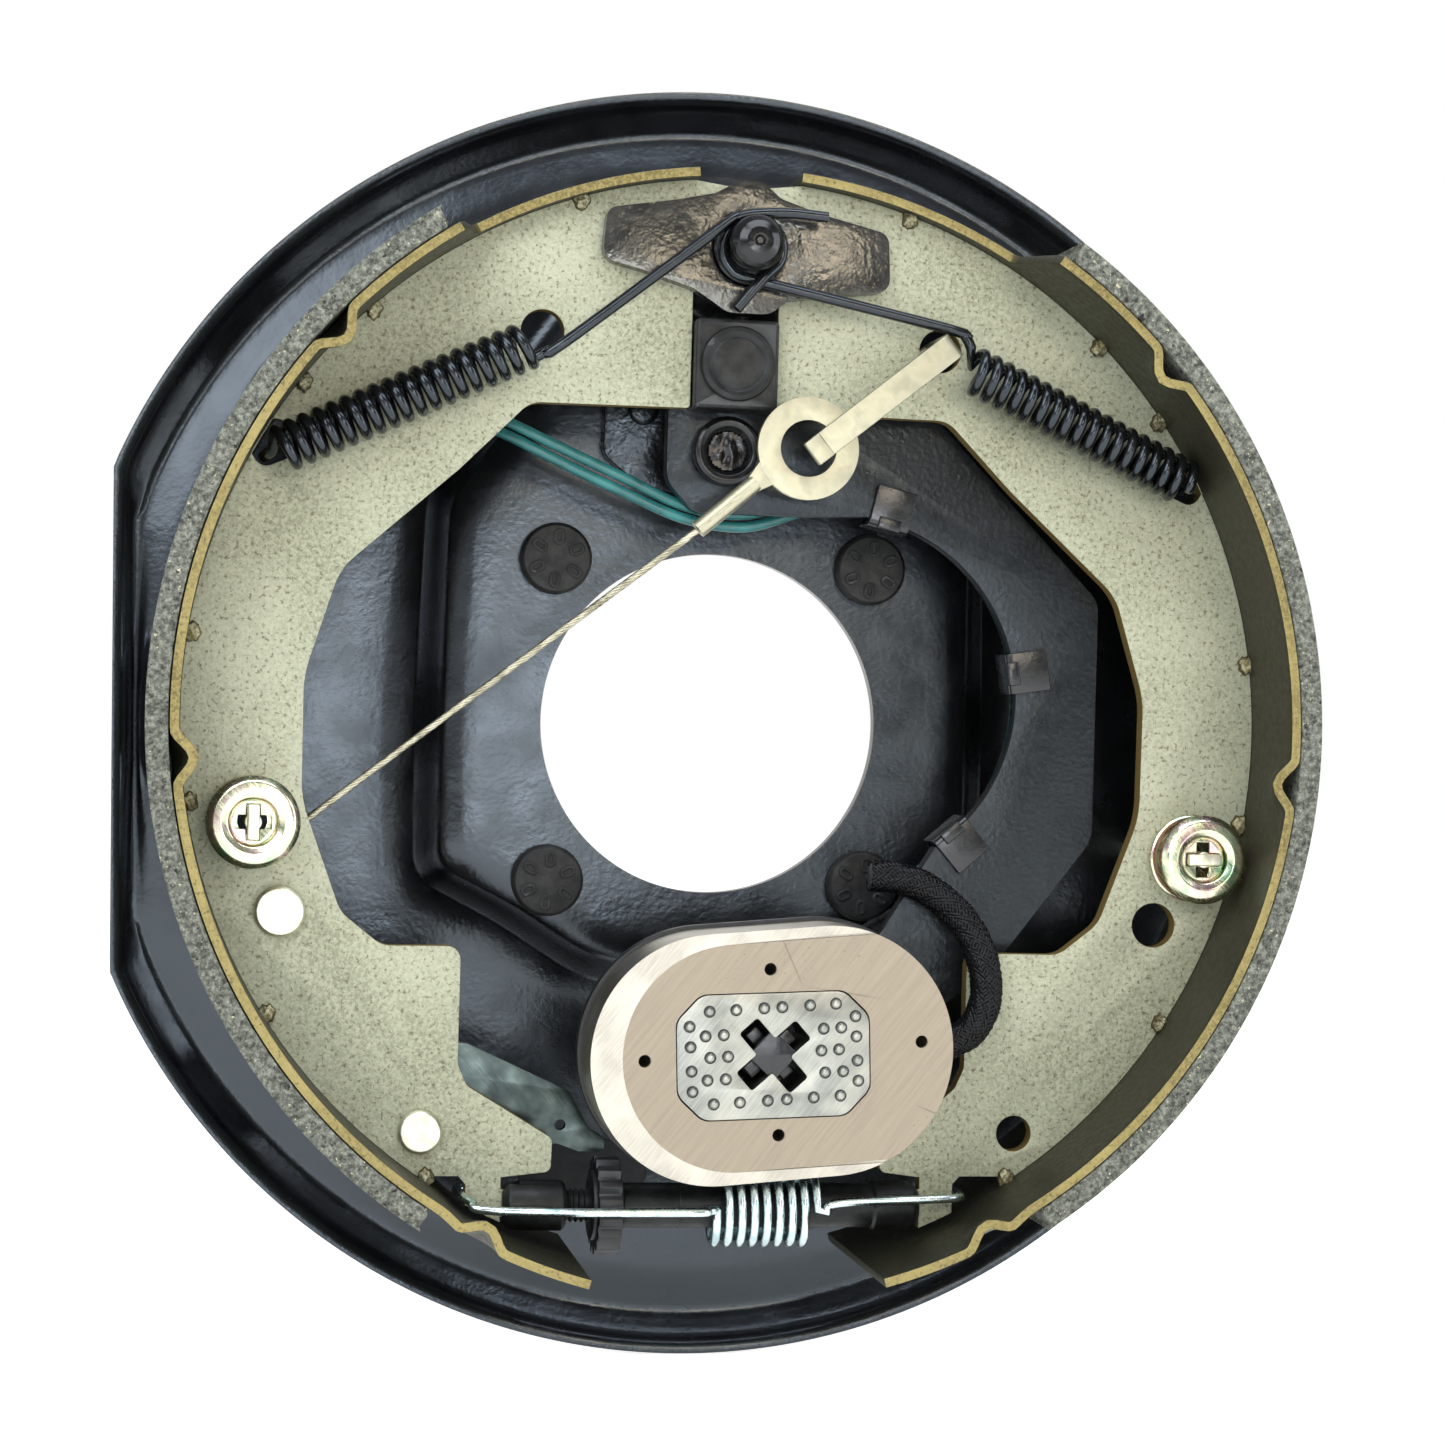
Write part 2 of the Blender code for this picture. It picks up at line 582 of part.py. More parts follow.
def shoe(side_name):
    """One brake shoe: its web with all its holes, its table and its lining."""
    side = WEB_SIDES[side_name]
    sign = side["sign"]
    holes = [circle((sign * x, z), radius, 14) for x, z, radius in (LINK_HOLE, UPPER_HOLE, LOWER_HOLE)]
    holes.append(circle(HOLD_DOWNS[side_name], 4.6, 10))
    web = flat_part(f"{side_name}_shoe_web", [web_outline(side)] + holes, WEB_FRONT, WEB_BACK, YELLOW_ZINC)
    drill(web, sign * SPRING_HOLE[0], SPRING_HOLE[1], SPRING_HOLE[2], WEB_FRONT - 2, WEB_BACK + 2)
    band = (arc((0, 0), LINING_RADIUS, LINING_BOTTOM_ANGLE, LINING_TOP_ANGLE, 26)
            + arc((0, 0), LINING_RADIUS - LINING_THICK, LINING_TOP_ANGLE - 0.8, LINING_BOTTOM_ANGLE + 0.8, 26))
    lining = flat_part(f"{side_name}_lining", [mirrored(band, sign)], LINING_FRONT, LINING_BACK, LINING_GREY)
    return [web, table(f"{side_name}_shoe_table", sign), lining]


def return_springs():
    """The two long black springs that pull the shoes back to the anchor post."""
    coil_y = WEB_FRONT - RETURN_COIL_RADIUS - RETURN_WIRE / 2 - 1.5
    left_end = (-99.6, coil_y, 55.6)
    left_start = (-48.6, coil_y, 79.8)
    turns = 17.5
    winding = coil(left_start, left_end, RETURN_COIL_RADIUS, turns, 250.0)
    hook = [(-101.8, -37.0, 55.2), (-103.0, -33.0, 54.6), (-103.2, -28.2, 55.0), (-101.0, -26.2, 56.5)]
    lead = [(15.8, -44.7, 110.4), (8.0, -44.7, 110.8), (1.0, -44.7, 110.4), (-3.6, -44.7, 109.4),
            (-8.0, -44.6, 106.6), (-41.0, -43.4, 80.4), (-44.0, -42.4, 78.9), (-46.8, -42.2, 77.2)]
    left = wire("left_return_spring", lead + winding + hook, RETURN_WIRE, SPRING_BLACK)
    right_start = (50.0, coil_y, 79.4)
    right_end = (99.8, coil_y, 56.4)
    winding = coil(right_start, right_end, RETURN_COIL_RADIUS, turns, 200.0)
    hook = [(101.8, -37.0, 55.4), (102.4, -33.0, 55.2), (102.2, -28.2, 55.6), (100.4, -26.2, 56.8)]
    loop_radius = 6.6
    loop = [(-3.4, -42.6, 89.8), (2.0, -42.6, 96.4)]
    for degrees in (-30, 10, 50, 90, 130, 170, 210, 250):
        x, z = polar(loop_radius, degrees, (POST[0], POST[1] - 0.4))
        depth = -42.0 + 1.2 * (degrees + 30) / 280
        loop.append((x, depth, z))
    lead = loop + [(8.0, -40.6, 95.2), (45.0, -40.8, 88.0), (48.4, -40.8, 86.4), (49.6, -41.0, 84.2)]
    right = wire("right_return_spring", lead + winding + hook, RETURN_WIRE, SPRING_BLACK)
    return left, right


def hold_down(side_name):
    """A shoe's hold-down: the pin from behind, two dished cups and the spring between."""
    centre = HOLD_DOWNS[side_name]
    back = FLOOR_FRONT + PLATE_THICK + GAP
    pin = turned(f"{side_name}_hold_down_pin",
                 [(0.0, -45.2), (1.8, -45.2), (1.8, back), (5.5, back), (5.5, back + 1.2), (4.5, back + 2.0),
                  (0.0, back + 2.0)], centre, YELLOW_ZINC, steps=12)
    size = (1.3, 3.8) if side_name == "left" else (3.8, 1.3)
    head = block(f"{side_name}_pin_head", (centre[0] - size[0], -46.6, centre[1] - size[1]),
                 (centre[0] + size[0], -44.8, centre[1] + size[1]), None, collection=cutters)
    combine(pin, head, "UNION")
    turned(f"{side_name}_lower_cup",
           [(9.3, -37.6), (9.9, -37.2), (8.9, -34.3), (3.2, -34.3), (3.2, -35.3), (8.1, -35.3), (8.7, -37.6),
            (9.3, -37.6)], centre, CUP_ZINC, steps=14)
    wire(f"{side_name}_hold_down_spring",
         coil((centre[0], -36.5, centre[1]), (centre[0], -43.7, centre[1]), 7.1, 2.75, 0.0), 1.5, PINK_ZINC)
    cup = turned(f"{side_name}_upper_cup",
                 [(4.7, -44.6), (5.2, -45.9), (6.6, -46.5), (8.6, -46.3), (10.0, -44.9), (9.6, -44.2),
                  (8.2, -45.3), (6.6, -45.5), (6.0, -45.2), (5.6, -43.4), (2.3, -43.4), (2.3, -44.3),
                  (4.7, -44.6)], centre, CUP_ZINC)
    for i, (half_x, half_z) in enumerate(((3.9, 1.5), (1.5, 3.9))):
        slot = block(f"{side_name}_cup_slot_{i}", (centre[0] - half_x, -48, centre[1] - half_z),
                     (centre[0] + half_x, -42, centre[1] + half_z), None, collection=cutters)
        combine(cup, slot, "DIFFERENCE")
    return cup


def adjuster():
    """The adjusting screw: a forked nut, the star wheel's screw and a forked socket."""
    axis = (SCREW_Y, SCREW_Z)
    left_end, right_end = -WEB_SIDES["left"]["leg"][0] + GAP, WEB_SIDES["right"]["leg"][0] - GAP
    nut = turned("adjuster_nut",
                 [(4.1, -34.2), (4.9, -34.2), (SOCKET_RADIUS, -35.0), (SOCKET_RADIUS, left_end + 1.5),
                  (4.1, left_end), (0.0, left_end), (0.0, -39.6), (4.1, -39.6), (4.1, -34.2)],
                 axis, BLACK_STEEL, "X", 14)
    socket = turned("adjuster_socket",
                    [(0.0, right_end), (4.1, right_end), (SOCKET_RADIUS, right_end - 1.5), (SOCKET_RADIUS, 34.6),
                     (4.9, 34.0), (4.9, -21.6), (4.1, -21.6), (4.1, 26.0), (0.0, 26.0)],
                    axis, BLACK_STEEL, "X", 14)
    for piece, x_low, x_high in ((nut, left_end - 1, left_end + 3.9), (socket, right_end - 3.9, right_end + 1)):
        fork = block(f"{piece.name}_fork", (x_low, WEB_FRONT - 0.4, SCREW_Z - 8),
                     (x_high, WEB_BACK + 0.4, SCREW_Z + 8), None, collection=cutters)
        combine(piece, fork, "DIFFERENCE")
    screw = turned("adjuster_screw",
                   [(0.0, 25.0), (3.2, 25.0), (3.7, 24.4), (3.7, -22.0), (7.6, -22.0), (7.6, -28.6), (3.7, -28.6),
                    (3.7, -38.4), (3.0, -39.0), (0.0, -39.0)], axis, BLACK_STEEL, "X", 14)
    teeth = []
    for i in range(STAR_TEETH):
        for turn, radius in ((0.0, 9.0), (0.32, STAR_RADIUS), (0.68, STAR_RADIUS)):
            teeth.append(polar(radius, 360.0 * (i + turn) / STAR_TEETH))
    wheel = flat_part("star_wheel", [teeth], -27.8, -22.6, None, collection=cutters)
    wheel.rotation_euler = (math.pi / 2, 0.0, math.pi / 2)
    wheel.location = (-25.2 * MM, SCREW_Y * MM, SCREW_Z * MM)
    combine(screw, wheel, "UNION")
    return screw


def adjuster_spring():
    """The bright spring between the shoes' feet, coiled round the adjuster's socket."""
    front = -44.6
    centre_z = -105.4
    left_hook = -WEB_SIDES["left"]["leg"][1] - 1.3
    right_hook = WEB_SIDES["right"]["leg"][1] + 1.3
    left = [(left_hook + 3.0, -27.4, centre_z + 2.6), (left_hook, -28.0, centre_z + 2.6),
            (left_hook, -36.0, centre_z + 2.6), (left_hook + 2.0, -41.8, centre_z + 1.8),
            (left_hook + 7.0, front, centre_z + 0.4), (-9.0, front, centre_z), (-4.5, -42.6, centre_z),
            (-2.4, -41.4, centre_z)]
    winding = coil((-1.8, SCREW_Y, centre_z), (20.6, SCREW_Y, centre_z), 8.7, 8.0, 0.0)
    right = [(22.6, -41.0, centre_z - 0.4), (25.2, -41.6, centre_z + 1.6), (right_hook - 6.0, -41.6, centre_z + 2.4),
             (right_hook - 1.0, -39.4, centre_z + 2.4), (right_hook, -35.6, centre_z + 2.4),
             (right_hook, -28.0, centre_z + 2.4), (right_hook - 3.0, -27.4, centre_z + 2.4)]
    return wire("adjuster_spring", left + winding + right, 1.9, BRIGHT_ZINC)


def actuating_lever():
    """The flat stamped lever that hangs from the pivot and curves down behind the magnet."""
    inner = [(x, z, 0) for x, z in arc(LEVER_ARC, LEVER_ARC_RADIUS, 84.0, -56.0, 12)]
    head = [(-11.6, 88.2, 3), (-15.3, 80.0, 3), (-15.3, 53.5, 6), (-9.0, 46.6, 5), (16.0, 46.6, 0)]
    foot = [(36.0, -46.0, 5), (20.0, -54.0, 8), (-8.0, -60.0, 6), (-8.0, -78.0, 7), (16.0, -82.0, 8),
            (52.0, -61.0, 12), (64.7, -49.8, 4), (84.5, -24.0, 8), (84.5, 30.0, 6)]
    shoulder = [(45.6, 69.6, 5), (14.0, 69.6, 3), (8.0, 88.2, 3)]
    outline = rounded(head + inner + foot + shoulder, 2)
    holes = [circle(PIVOT, 5.6, 16), circle(BLOCK_CENTRE, 4.4, 12), circle(MAGNET, 4.4, 12)]
    return flat_part("actuating_lever", [outline] + holes, LEVER_FRONT, LEVER_BACK, BLACK_COAT, edge=1.0)


def lever_pieces():
    """The lever with its block, the block's pin, the magnet's post and clip, and the wire clips."""
    pieces = [actuating_lever()]
    half = (BLOCK_SIZE[0] / 2, BLOCK_SIZE[1] / 2)
    corners = [(-half[0], -half[1], 1), (half[0], -half[1], 1), (half[0], half[1], 1), (-half[0], half[1], 1)]
    pieces.append(flat_part("lever_block", [placed(rounded(corners, 2), BLOCK_CENTRE), circle(BLOCK_CENTRE, 4.4, 16)],
                            BLOCK_FRONT, LEVER_FRONT - GAP, BLACK_STEEL))
    pieces.append(turned("block_pin", [(0.0, -39.4), (3.6, -39.4), (4.4, -39.8), (7.4, -39.8), (8.2, -39.2),
                                       (8.2, BLOCK_FRONT - GAP), (4.1, BLOCK_FRONT - GAP),
                                       (4.1, LEVER_BACK + GAP), (6.4, LEVER_BACK + GAP), (5.6, LEVER_BACK + 2.2),
                                       (0.0, LEVER_BACK + 2.2)], BLOCK_CENTRE, BLACK_STEEL))
    pieces.append(turned("magnet_post", [(0.0, -57.0), (2.6, -57.0), (3.1, -56.4), (3.1, LEVER_FRONT - GAP - 2.4),
                                         (6.6, LEVER_FRONT - GAP - 2.0), (6.6, LEVER_FRONT - GAP),
                                         (4.1, LEVER_FRONT - GAP), (4.1, LEVER_BACK + GAP),
                                         (6.4, LEVER_BACK + GAP), (5.6, LEVER_BACK + 2.2),
                                         (0.0, LEVER_BACK + 2.2)], MAGNET, BLACK_STEEL, steps=12))
    square = [(-3.4, -3.4, 0.8), (3.4, -3.4, 0.8), (3.4, 3.4, 0.8), (-3.4, 3.4, 0.8)]
    pieces.append(flat_part("magnet_clip", [placed(rounded(square, 1), MAGNET, 42.0)], -60.4, -58.7, BLACK_PLASTIC))
    for name, degrees in (("upper", 76.0), ("middle", 8.8), ("lower", -49.0)):
        pieces.append(wire_clip(f"wire_clip_{name}", degrees))
    return pieces


def wire_clip(name, degrees):
    """A folded clip over the lever's inner edge that holds both leads behind it."""
    inner, outer = LEVER_ARC_RADIUS - 1.9, LEVER_ARC_RADIUS + 7.6
    front, back = LEVER_FRONT - 1.6, LEVER_BACK + 4.7
    wall = 1.2
    section = [(outer, front), (inner, front), (inner, back), (outer, back), (outer, back - wall),
               (inner + wall, back - wall), (inner + wall, front + wall), (outer, front + wall)]
    obj = flat_part(name, [[(along, -depth) for along, depth in section]], -4.6, 4.6, BLACK_PLASTIC)
    obj.matrix_world = Matrix.Translation((LEVER_ARC[0] * MM, 0, LEVER_ARC[1] * MM)) @ stand(degrees)
    return obj


def stand(degrees):
    """Turn a section drawn as (radius, -depth) to lie along a radius of the lever's arc."""
    radial = Vector((math.cos(math.radians(degrees)), 0.0, math.sin(math.radians(degrees))))
    towards_viewer = Vector((0.0, -1.0, 0.0))
    across = radial.cross(towards_viewer)
    return Matrix((radial, towards_viewer, across)).transposed().to_4x4()


def magnet():
    """The electromagnet: steel shell, pole core, facing, plastic housing and its spring."""
    rim = stadium(MAGNET_HALF_LENGTH, MAGNET_END_RADIUS)
    half_x, half_z = CORE_SIZE[0] / 2, CORE_SIZE[1] / 2

    def window(grow):
        x, z, cut = half_x + grow, half_z + grow, 4.6
        return [(-x, z - cut), (-x, cut - z), (cut - x, -z), (x - cut, -z), (x, cut - z), (x, z - cut),
                (x - cut, z), (cut - x, z)]

    facing_radius = 24.0
    run = math.sqrt(MAGNET_END_RADIUS ** 2 - facing_radius ** 2)
    end_centre = MAGNET_HALF_LENGTH - MAGNET_END_RADIUS
    end_angle = math.degrees(math.atan2(facing_radius, run))
    facing = (arc((-8.2, 0), facing_radius, 90, 270, 12)
              + arc((end_centre, 0), MAGNET_END_RADIUS, -end_angle, end_angle, 10))
    pocket = (arc((-8.2, 0), facing_radius + GAP, 90, 270, 12)
              + arc((end_centre + 1.5, 0), MAGNET_END_RADIUS + 1.5, -end_angle, end_angle, 10))

    def here(loop, extra=0.0):
        return placed(loop, MAGNET, MAGNET_TILT + extra)

    lean = -2.5
    shell = flat_part("magnet_shell", [here(rim), here(window(0.4), lean)], MAGNET_FRONT, SHELL_BACK, MAGNET_STEEL)
    seat = flat_part("facing_seat", [here(pocket)], MAGNET_FRONT - 1, MAGNET_FRONT + FACING_THICK + GAP, None,
                     collection=cutters)
    combine(shell, seat, "DIFFERENCE")
    cover = flat_part("magnet_facing", [here(facing), here(window(0.4), lean)], MAGNET_FRONT,
                      MAGNET_FRONT + FACING_THICK, MAGNET_FILL)
    arm, width = 8.4, 2.6
    cross = [(arm, -width), (arm, width), (width, width), (width, arm), (-width, arm), (-width, width),
             (-arm, width), (-arm, -width), (-width, -width), (-width, -arm), (width, -arm), (width, -width)]
    core = flat_part("magnet_core", [here(window(0.0), lean), placed(cross, MAGNET, 42.0)], MAGNET_FRONT, SHELL_BACK,
                     MAGNET_STEEL)
    pocket_half = 3.9
    square = [(-pocket_half, -pocket_half), (pocket_half, -pocket_half), (pocket_half, pocket_half),
              (-pocket_half, pocket_half)]
    recess = flat_part("clip_recess", [placed(square, MAGNET, 42.0)], MAGNET_FRONT - 1, MAGNET_FRONT + 2.6, None,
                       collection=cutters)
    combine(core, recess, "DIFFERENCE")
    length, radius = MAGNET_HALF_LENGTH + 0.8, MAGNET_END_RADIUS + 0.8
    housing = flat_part("magnet_housing", [here(stadium(length, radius)), circle(MAGNET, 6.9)],
                        SHELL_BACK + GAP, HOUSING_STEP, BLACK_PLASTIC)
    length, radius = length - HOUSING_STEP_IN, radius - HOUSING_STEP_IN
    rear = flat_part("housing_rear", [here(stadium(length, radius)), circle(MAGNET, 7.6)],
                     HOUSING_STEP - 1.0, MAGNET_BACK, None, collection=cutters)
    combine(housing, rear, "UNION")
    turned_spring = wire("magnet_spring", coil((MAGNET[0], LEVER_FRONT - 1.2, MAGNET[1]),
                                               (MAGNET[0], MAGNET_BACK + 1.2, MAGNET[1]), 9.6, 2.0, 0.0),
                         1.4, BRIGHT_ZINC)
    return [shell, cover, core, housing], turned_spring


def self_adjuster():
    """The eye, its flat link, the cable, the guide, the pawl lever and its return spring."""
    ring_loops = [circle(EYE, 11.2, 26), circle(EYE, 6.2, 18)]
    eye = flat_part("cable_eye", ring_loops, EYE_FRONT, EYE_FRONT + EYE_THICK, BRIGHT_ZINC)
    eye_y = EYE_FRONT + EYE_THICK / 2
    barrel_start, barrel_end = Vector((4.6, eye_y, 54.8)), Vector((-10.4, eye_y, 41.8))
    barrel = wire("eye_barrel", [tuple(barrel_start), tuple(barrel_end)], 3.8, None, 2)
    solid = as_mesh_in(barrel, cutters)
    combine(eye, solid, "UNION")
    link = hook_link()
    cable = wire("adjuster_cable", cable_route((barrel_end + (barrel_end - barrel_start).normalized() * GAP)),
                 CABLE_DIAMETER, CABLE_STEEL)
    back = ADJUSTER_FRONT + 4.6
    guide = turned("cable_guide", [(GUIDE_RADIUS + 1.7, ADJUSTER_FRONT), (GUIDE_RADIUS + 1.7, ADJUSTER_FRONT + 0.8),
                                   (GUIDE_RADIUS, ADJUSTER_FRONT + 1.2), (GUIDE_RADIUS, back - 0.8),
                                   (GUIDE_RADIUS + 1.7, back), (GUIDE_RADIUS - 2.0, back),
                                   (GUIDE_RADIUS - 2.4, ADJUSTER_FRONT + 1.0), (3.6, ADJUSTER_FRONT + 1.0),
                                   (3.6, ADJUSTER_FRONT), (GUIDE_RADIUS + 1.7, ADJUSTER_FRONT)],
                   GUIDE, BRIGHT_ZINC)
    guide_rivet = rivet("cable_guide_rivet", GUIDE, 5.5, 3.0, ADJUSTER_FRONT + 1.0 + GAP)
    lever_rivet = rivet("adjuster_lever_rivet", (-LOWER_HOLE[0], LOWER_HOLE[1]), 4.8, 3.0, ADJUSTER_BACK + GAP)
    outline = rounded([(-75.4, -86.0, 4), (-73.0, -77.0, 4), (-62.0, -70.6, 3), (-56.0, -71.0, 2), (-33.4, -81.2, 2),
                       (-28.6, -89.6, 2), (-25.4, -91.4, 1), (-25.4, -94.4, 0), (-31.0, -94.4, 0), (-36.0, -92.6, 3),
                       (-60.0, -96.6, 3), (-70.0, -95.0, 4)], 2)
    holes = [circle((-LOWER_HOLE[0], LOWER_HOLE[1]), 3.4, 14), circle((-35.2, -88.6), 1.2, 8),
             circle(CABLE_HOOK, 1.5, 10)]
    pawl = flat_part("adjuster_lever", [outline] + holes, ADJUSTER_FRONT, ADJUSTER_BACK, BRIGHT_ZINC)
    winding = coil((-LOWER_HOLE[0], ADJUSTER_BACK + 1.2, LOWER_HOLE[1]),
                   (-LOWER_HOLE[0], ADJUSTER_BACK + 4.6, LOWER_HOLE[1]), 6.4, 2.5, 0.0)
    spring = wire("adjuster_lever_spring", winding, 1.2, BRIGHT_ZINC)
    return eye, link, cable, guide, guide_rivet, lever_rivet, pawl, spring


def as_mesh_in(curve_object, collection):
    """Turn a linked curve object into a mesh in another collection."""
    brake.objects.unlink(curve_object)
    solid = as_mesh(curve_object)
    collection.objects.link(solid)
    return solid


def rivet(name, centre, head_radius, shank_radius, back):
    """A rivet through a web: a flat head in front and an upset end behind."""
    front = WEB_FRONT - GAP
    return turned(name, [(0.0, front - 1.6), (head_radius - 0.8, front - 1.6), (head_radius, front - 0.9),
                         (head_radius, front), (shank_radius, front), (shank_radius, back),
                         (shank_radius + 1.6, back), (shank_radius + 1.0, back + 1.0), (0.0, back + 1.0)],
                  centre, CUP_ZINC, steps=12)


def cable_route(start):
    """The cable's path: across the plate, round the guide and down to the pawl lever."""
    radius = GUIDE_RADIUS + CABLE_DIAMETER / 2 + 0.4
    groove = ADJUSTER_FRONT + 2.4
    on_guide, off_guide = 128.0, 241.0
    route = [tuple(start), (-34.0, -37.4, 23.0), (-60.0, -32.4, 2.3), (-80.0, -28.6, -13.6),
             (-92.0, groove, -23.2)]
    for i in range(7):
        x, z = polar(radius, on_guide + (off_guide - on_guide) * i / 6, GUIDE)
        route.append((x, groove, z))
    route += [(-84.0, groove + 0.8, -63.4), (-73.0, -25.4, -69.4), (CABLE_HOOK[0], -25.4, CABLE_HOOK[1])]
    return smooth_path(route, 8.0)


def hook_link():
    """The flat link from the eye to the shoe, its lower end bent back through the eye."""
    foot, head = Vector((19.6, 0.0, 63.6)), Vector((44.2, 0.0, 83.6))
    along = (head - foot).normalized()
    length = (head - foot).length
    thick, width = 1.8, 5.8
    front = EYE_FRONT - GAP - thick
    back = front + thick
    section = [(-6.6, back), (-6.6, front), (length + 1.6, front), (length + 1.6, WEB_BACK + 2.4),
               (length - 3.2, WEB_BACK + 2.4), (length - 3.2, WEB_BACK + 0.8), (length - 0.2, WEB_BACK + 0.8),
               (length - 0.2, back)]
    obj = flat_part("hook_link", [[(s, -depth) for s, depth in section]], -width / 2, width / 2, BRIGHT_ZINC)
    towards_viewer = Vector((0.0, -1.0, 0.0))
    across = along.cross(towards_viewer)
    obj.matrix_world = Matrix.Translation(foot * MM) @ Matrix((along, towards_viewer, across)).transposed().to_4x4()
    return obj


def lead_route(offset):
    """A lead's path from the grommet, under the lever's head and along its inner edge."""
    depth = LEVER_BACK + 1.9
    route = [(LEAD_HOLE[0] + 1.4 * offset, FLOOR_FRONT + 6.0, LEAD_HOLE[1] - 1.4 * offset),
             (LEAD_HOLE[0] + 1.4 * offset, FLOOR_FRONT - 4.0, LEAD_HOLE[1] - 1.4 * offset),
             (-64.0, -12.0, 70.6 - 2.0 * offset), (-50.6, -19.0, 64.4 - 1.5 * offset),
             (-37.0, -20.2, 58.2 - 1.6 * offset), (-24.0, -20.6, 52.6 - 1.6 * offset),
             (-10.0, -20.8, 47.0 - 1.4 * offset), (4.0, -21.0, 45.6 - 1.4 * offset)]
    radius = LEVER_ARC_RADIUS + 3.3 - 1.6 * offset
    for degrees in range(102, -46, -12):
        x, z = polar(radius, degrees, LEVER_ARC)
        route.append((x, depth, z))
    return route


def leads():
    """Two green leads to the magnet, the braided sleeve over their end, and the rear tails."""
    pieces = []
    curls = {1: [(45.4, -21.1, -33.6), (38.4, -21.6, -38.2), (32.6, -25.0, -38.4), (28.8, -29.2, -36.6),
                 (29.6, -31.4, -35.1), (32.6, -31.4, -34.9)],
             2: [(46.8, -21.1, -36.8), (38.4, -21.4, -41.8), (31.0, -24.6, -41.8), (25.4, -28.8, -38.4),
                 (26.4, -31.4, -32.0), (32.6, -31.4, -31.9)]}
    for number, offset in ((1, 1.0), (2, -1.0)):
        route = lead_route(offset)
        route += curls[number]
        pieces.append(wire(f"lead_{number}", smooth_path(route, 9.0), LEAD_DIAMETER, LEAD_GREEN, 1))
    sleeve = [(32.9, -31.4, -33.4), (39.0, -31.6, -33.6), (46.0, -33.0, -36.0), (53.0, -36.0, -42.6),
              (56.8, -38.6, -51.0), (57.0, -40.6, -59.6), (53.4, -41.6, -66.2), (47.8, -42.0, -68.8)]
    pieces.append(wire("lead_sleeve", smooth_path(sleeve, 6.0), SLEEVE_DIAMETER, BRAID_BLACK, 2))
    return pieces


def lead_tails():
    """The free ends of the two leads, which hang down behind the plate from the grommet."""
    for number, offset in ((1, 1.0), (2, -1.0)):
        x, z = LEAD_HOLE[0] + 1.4 * offset, LEAD_HOLE[1] - 1.4 * offset
        start = FLOOR_FRONT + 6.0 + GAP
        route = [(x, start, z), (x, start + 5.0, z - 0.2), (x - 0.4, start + 9.6, z - 3.6),
                 (x - 0.8, start + 11.0, z - 10.0), (x - 1.4, start + 10.0, z - 30.0),
                 (x - 1.6 + offset, start + 8.6, z - 60.0), (x - 0.6 + 2 * offset, start + 7.8, z - 95.0),
                 (x + 3 * offset, start + 7.4, z - 134.0 - 2 * offset)]
        wire(f"lead_tail_{number}", smooth_path(route, 7.0), LEAD_DIAMETER, LEAD_GREEN, 2)


backing_plate()
plate_fittings()
for side_name in ("left", "right"):
    cup_axis = HOLD_DOWNS[side_name]
    carry(hinge_point(f"{side_name}_cup_slide", (cup_axis[0], -44.0, cup_axis[1])), [hold_down(side_name)])
left_shoe_pieces = shoe("left")
right_shoe_pieces = shoe("right")
return_springs()
screw_piece = adjuster()
adjuster_spring()
cable_eye, link_piece, _, guide_piece, guide_rivet_piece, lever_rivet_piece, pawl_piece, _ = self_adjuster()
magnet_pieces, _ = magnet()
carried_by_lever = lever_pieces() + leads()
lead_tails()

carry(hinge_point("lever_axis", (PIVOT[0], LEVER_FRONT, PIVOT[1])), carried_by_lever)
carry(hinge_point("magnet_slide", (MAGNET[0], MAGNET_BACK, MAGNET[1])), magnet_pieces)
carry(hinge_point("right_shoe_axis", (43.5, WEB_FRONT, -105.0)), right_shoe_pieces + [cable_eye, link_piece])
carry(hinge_point("left_shoe_axis", (-47.0, WEB_FRONT, -105.0)),
      left_shoe_pieces + [guide_piece, guide_rivet_piece, lever_rivet_piece])
carry(hinge_point("pawl_axis", (-LOWER_HOLE[0], ADJUSTER_FRONT, LOWER_HOLE[1])), [pawl_piece])
carry(hinge_point("screw_axis", (-25.2, SCREW_Y, SCREW_Z)), [screw_piece])

for part in brake.objects:
    if part.type == "MESH":
        part.data.shade_smooth()
        part.data.set_sharp_from_angle(angle=math.radians(35))
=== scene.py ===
# %% [markdown]
# An electric trailer brake, looked at from its open side
#
# The solid model already has every part in its place. This lesson dresses it: each visible
# part is made again with fine edges and curves, and each finish is built from nodes.
# All sizes below are in millimetres, and MM turns them into Blender's metres.

# %% Load the fixed frame
import math

import bmesh
import bpy
from mathutils import Matrix, Vector, noise


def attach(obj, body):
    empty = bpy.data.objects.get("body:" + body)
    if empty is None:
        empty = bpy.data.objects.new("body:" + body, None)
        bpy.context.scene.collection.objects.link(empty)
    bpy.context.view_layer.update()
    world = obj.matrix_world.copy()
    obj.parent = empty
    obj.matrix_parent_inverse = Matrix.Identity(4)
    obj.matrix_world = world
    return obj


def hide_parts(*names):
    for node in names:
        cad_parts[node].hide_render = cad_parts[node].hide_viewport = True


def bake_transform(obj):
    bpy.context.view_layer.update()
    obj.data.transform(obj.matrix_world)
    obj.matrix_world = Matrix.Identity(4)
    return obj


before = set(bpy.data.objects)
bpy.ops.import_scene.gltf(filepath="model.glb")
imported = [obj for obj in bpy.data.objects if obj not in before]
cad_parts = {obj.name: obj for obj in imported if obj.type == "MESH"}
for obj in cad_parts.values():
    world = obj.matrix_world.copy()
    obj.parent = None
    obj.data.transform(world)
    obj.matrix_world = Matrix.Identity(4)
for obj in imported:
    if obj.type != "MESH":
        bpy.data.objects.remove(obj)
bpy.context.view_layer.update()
scene = bpy.context.scene
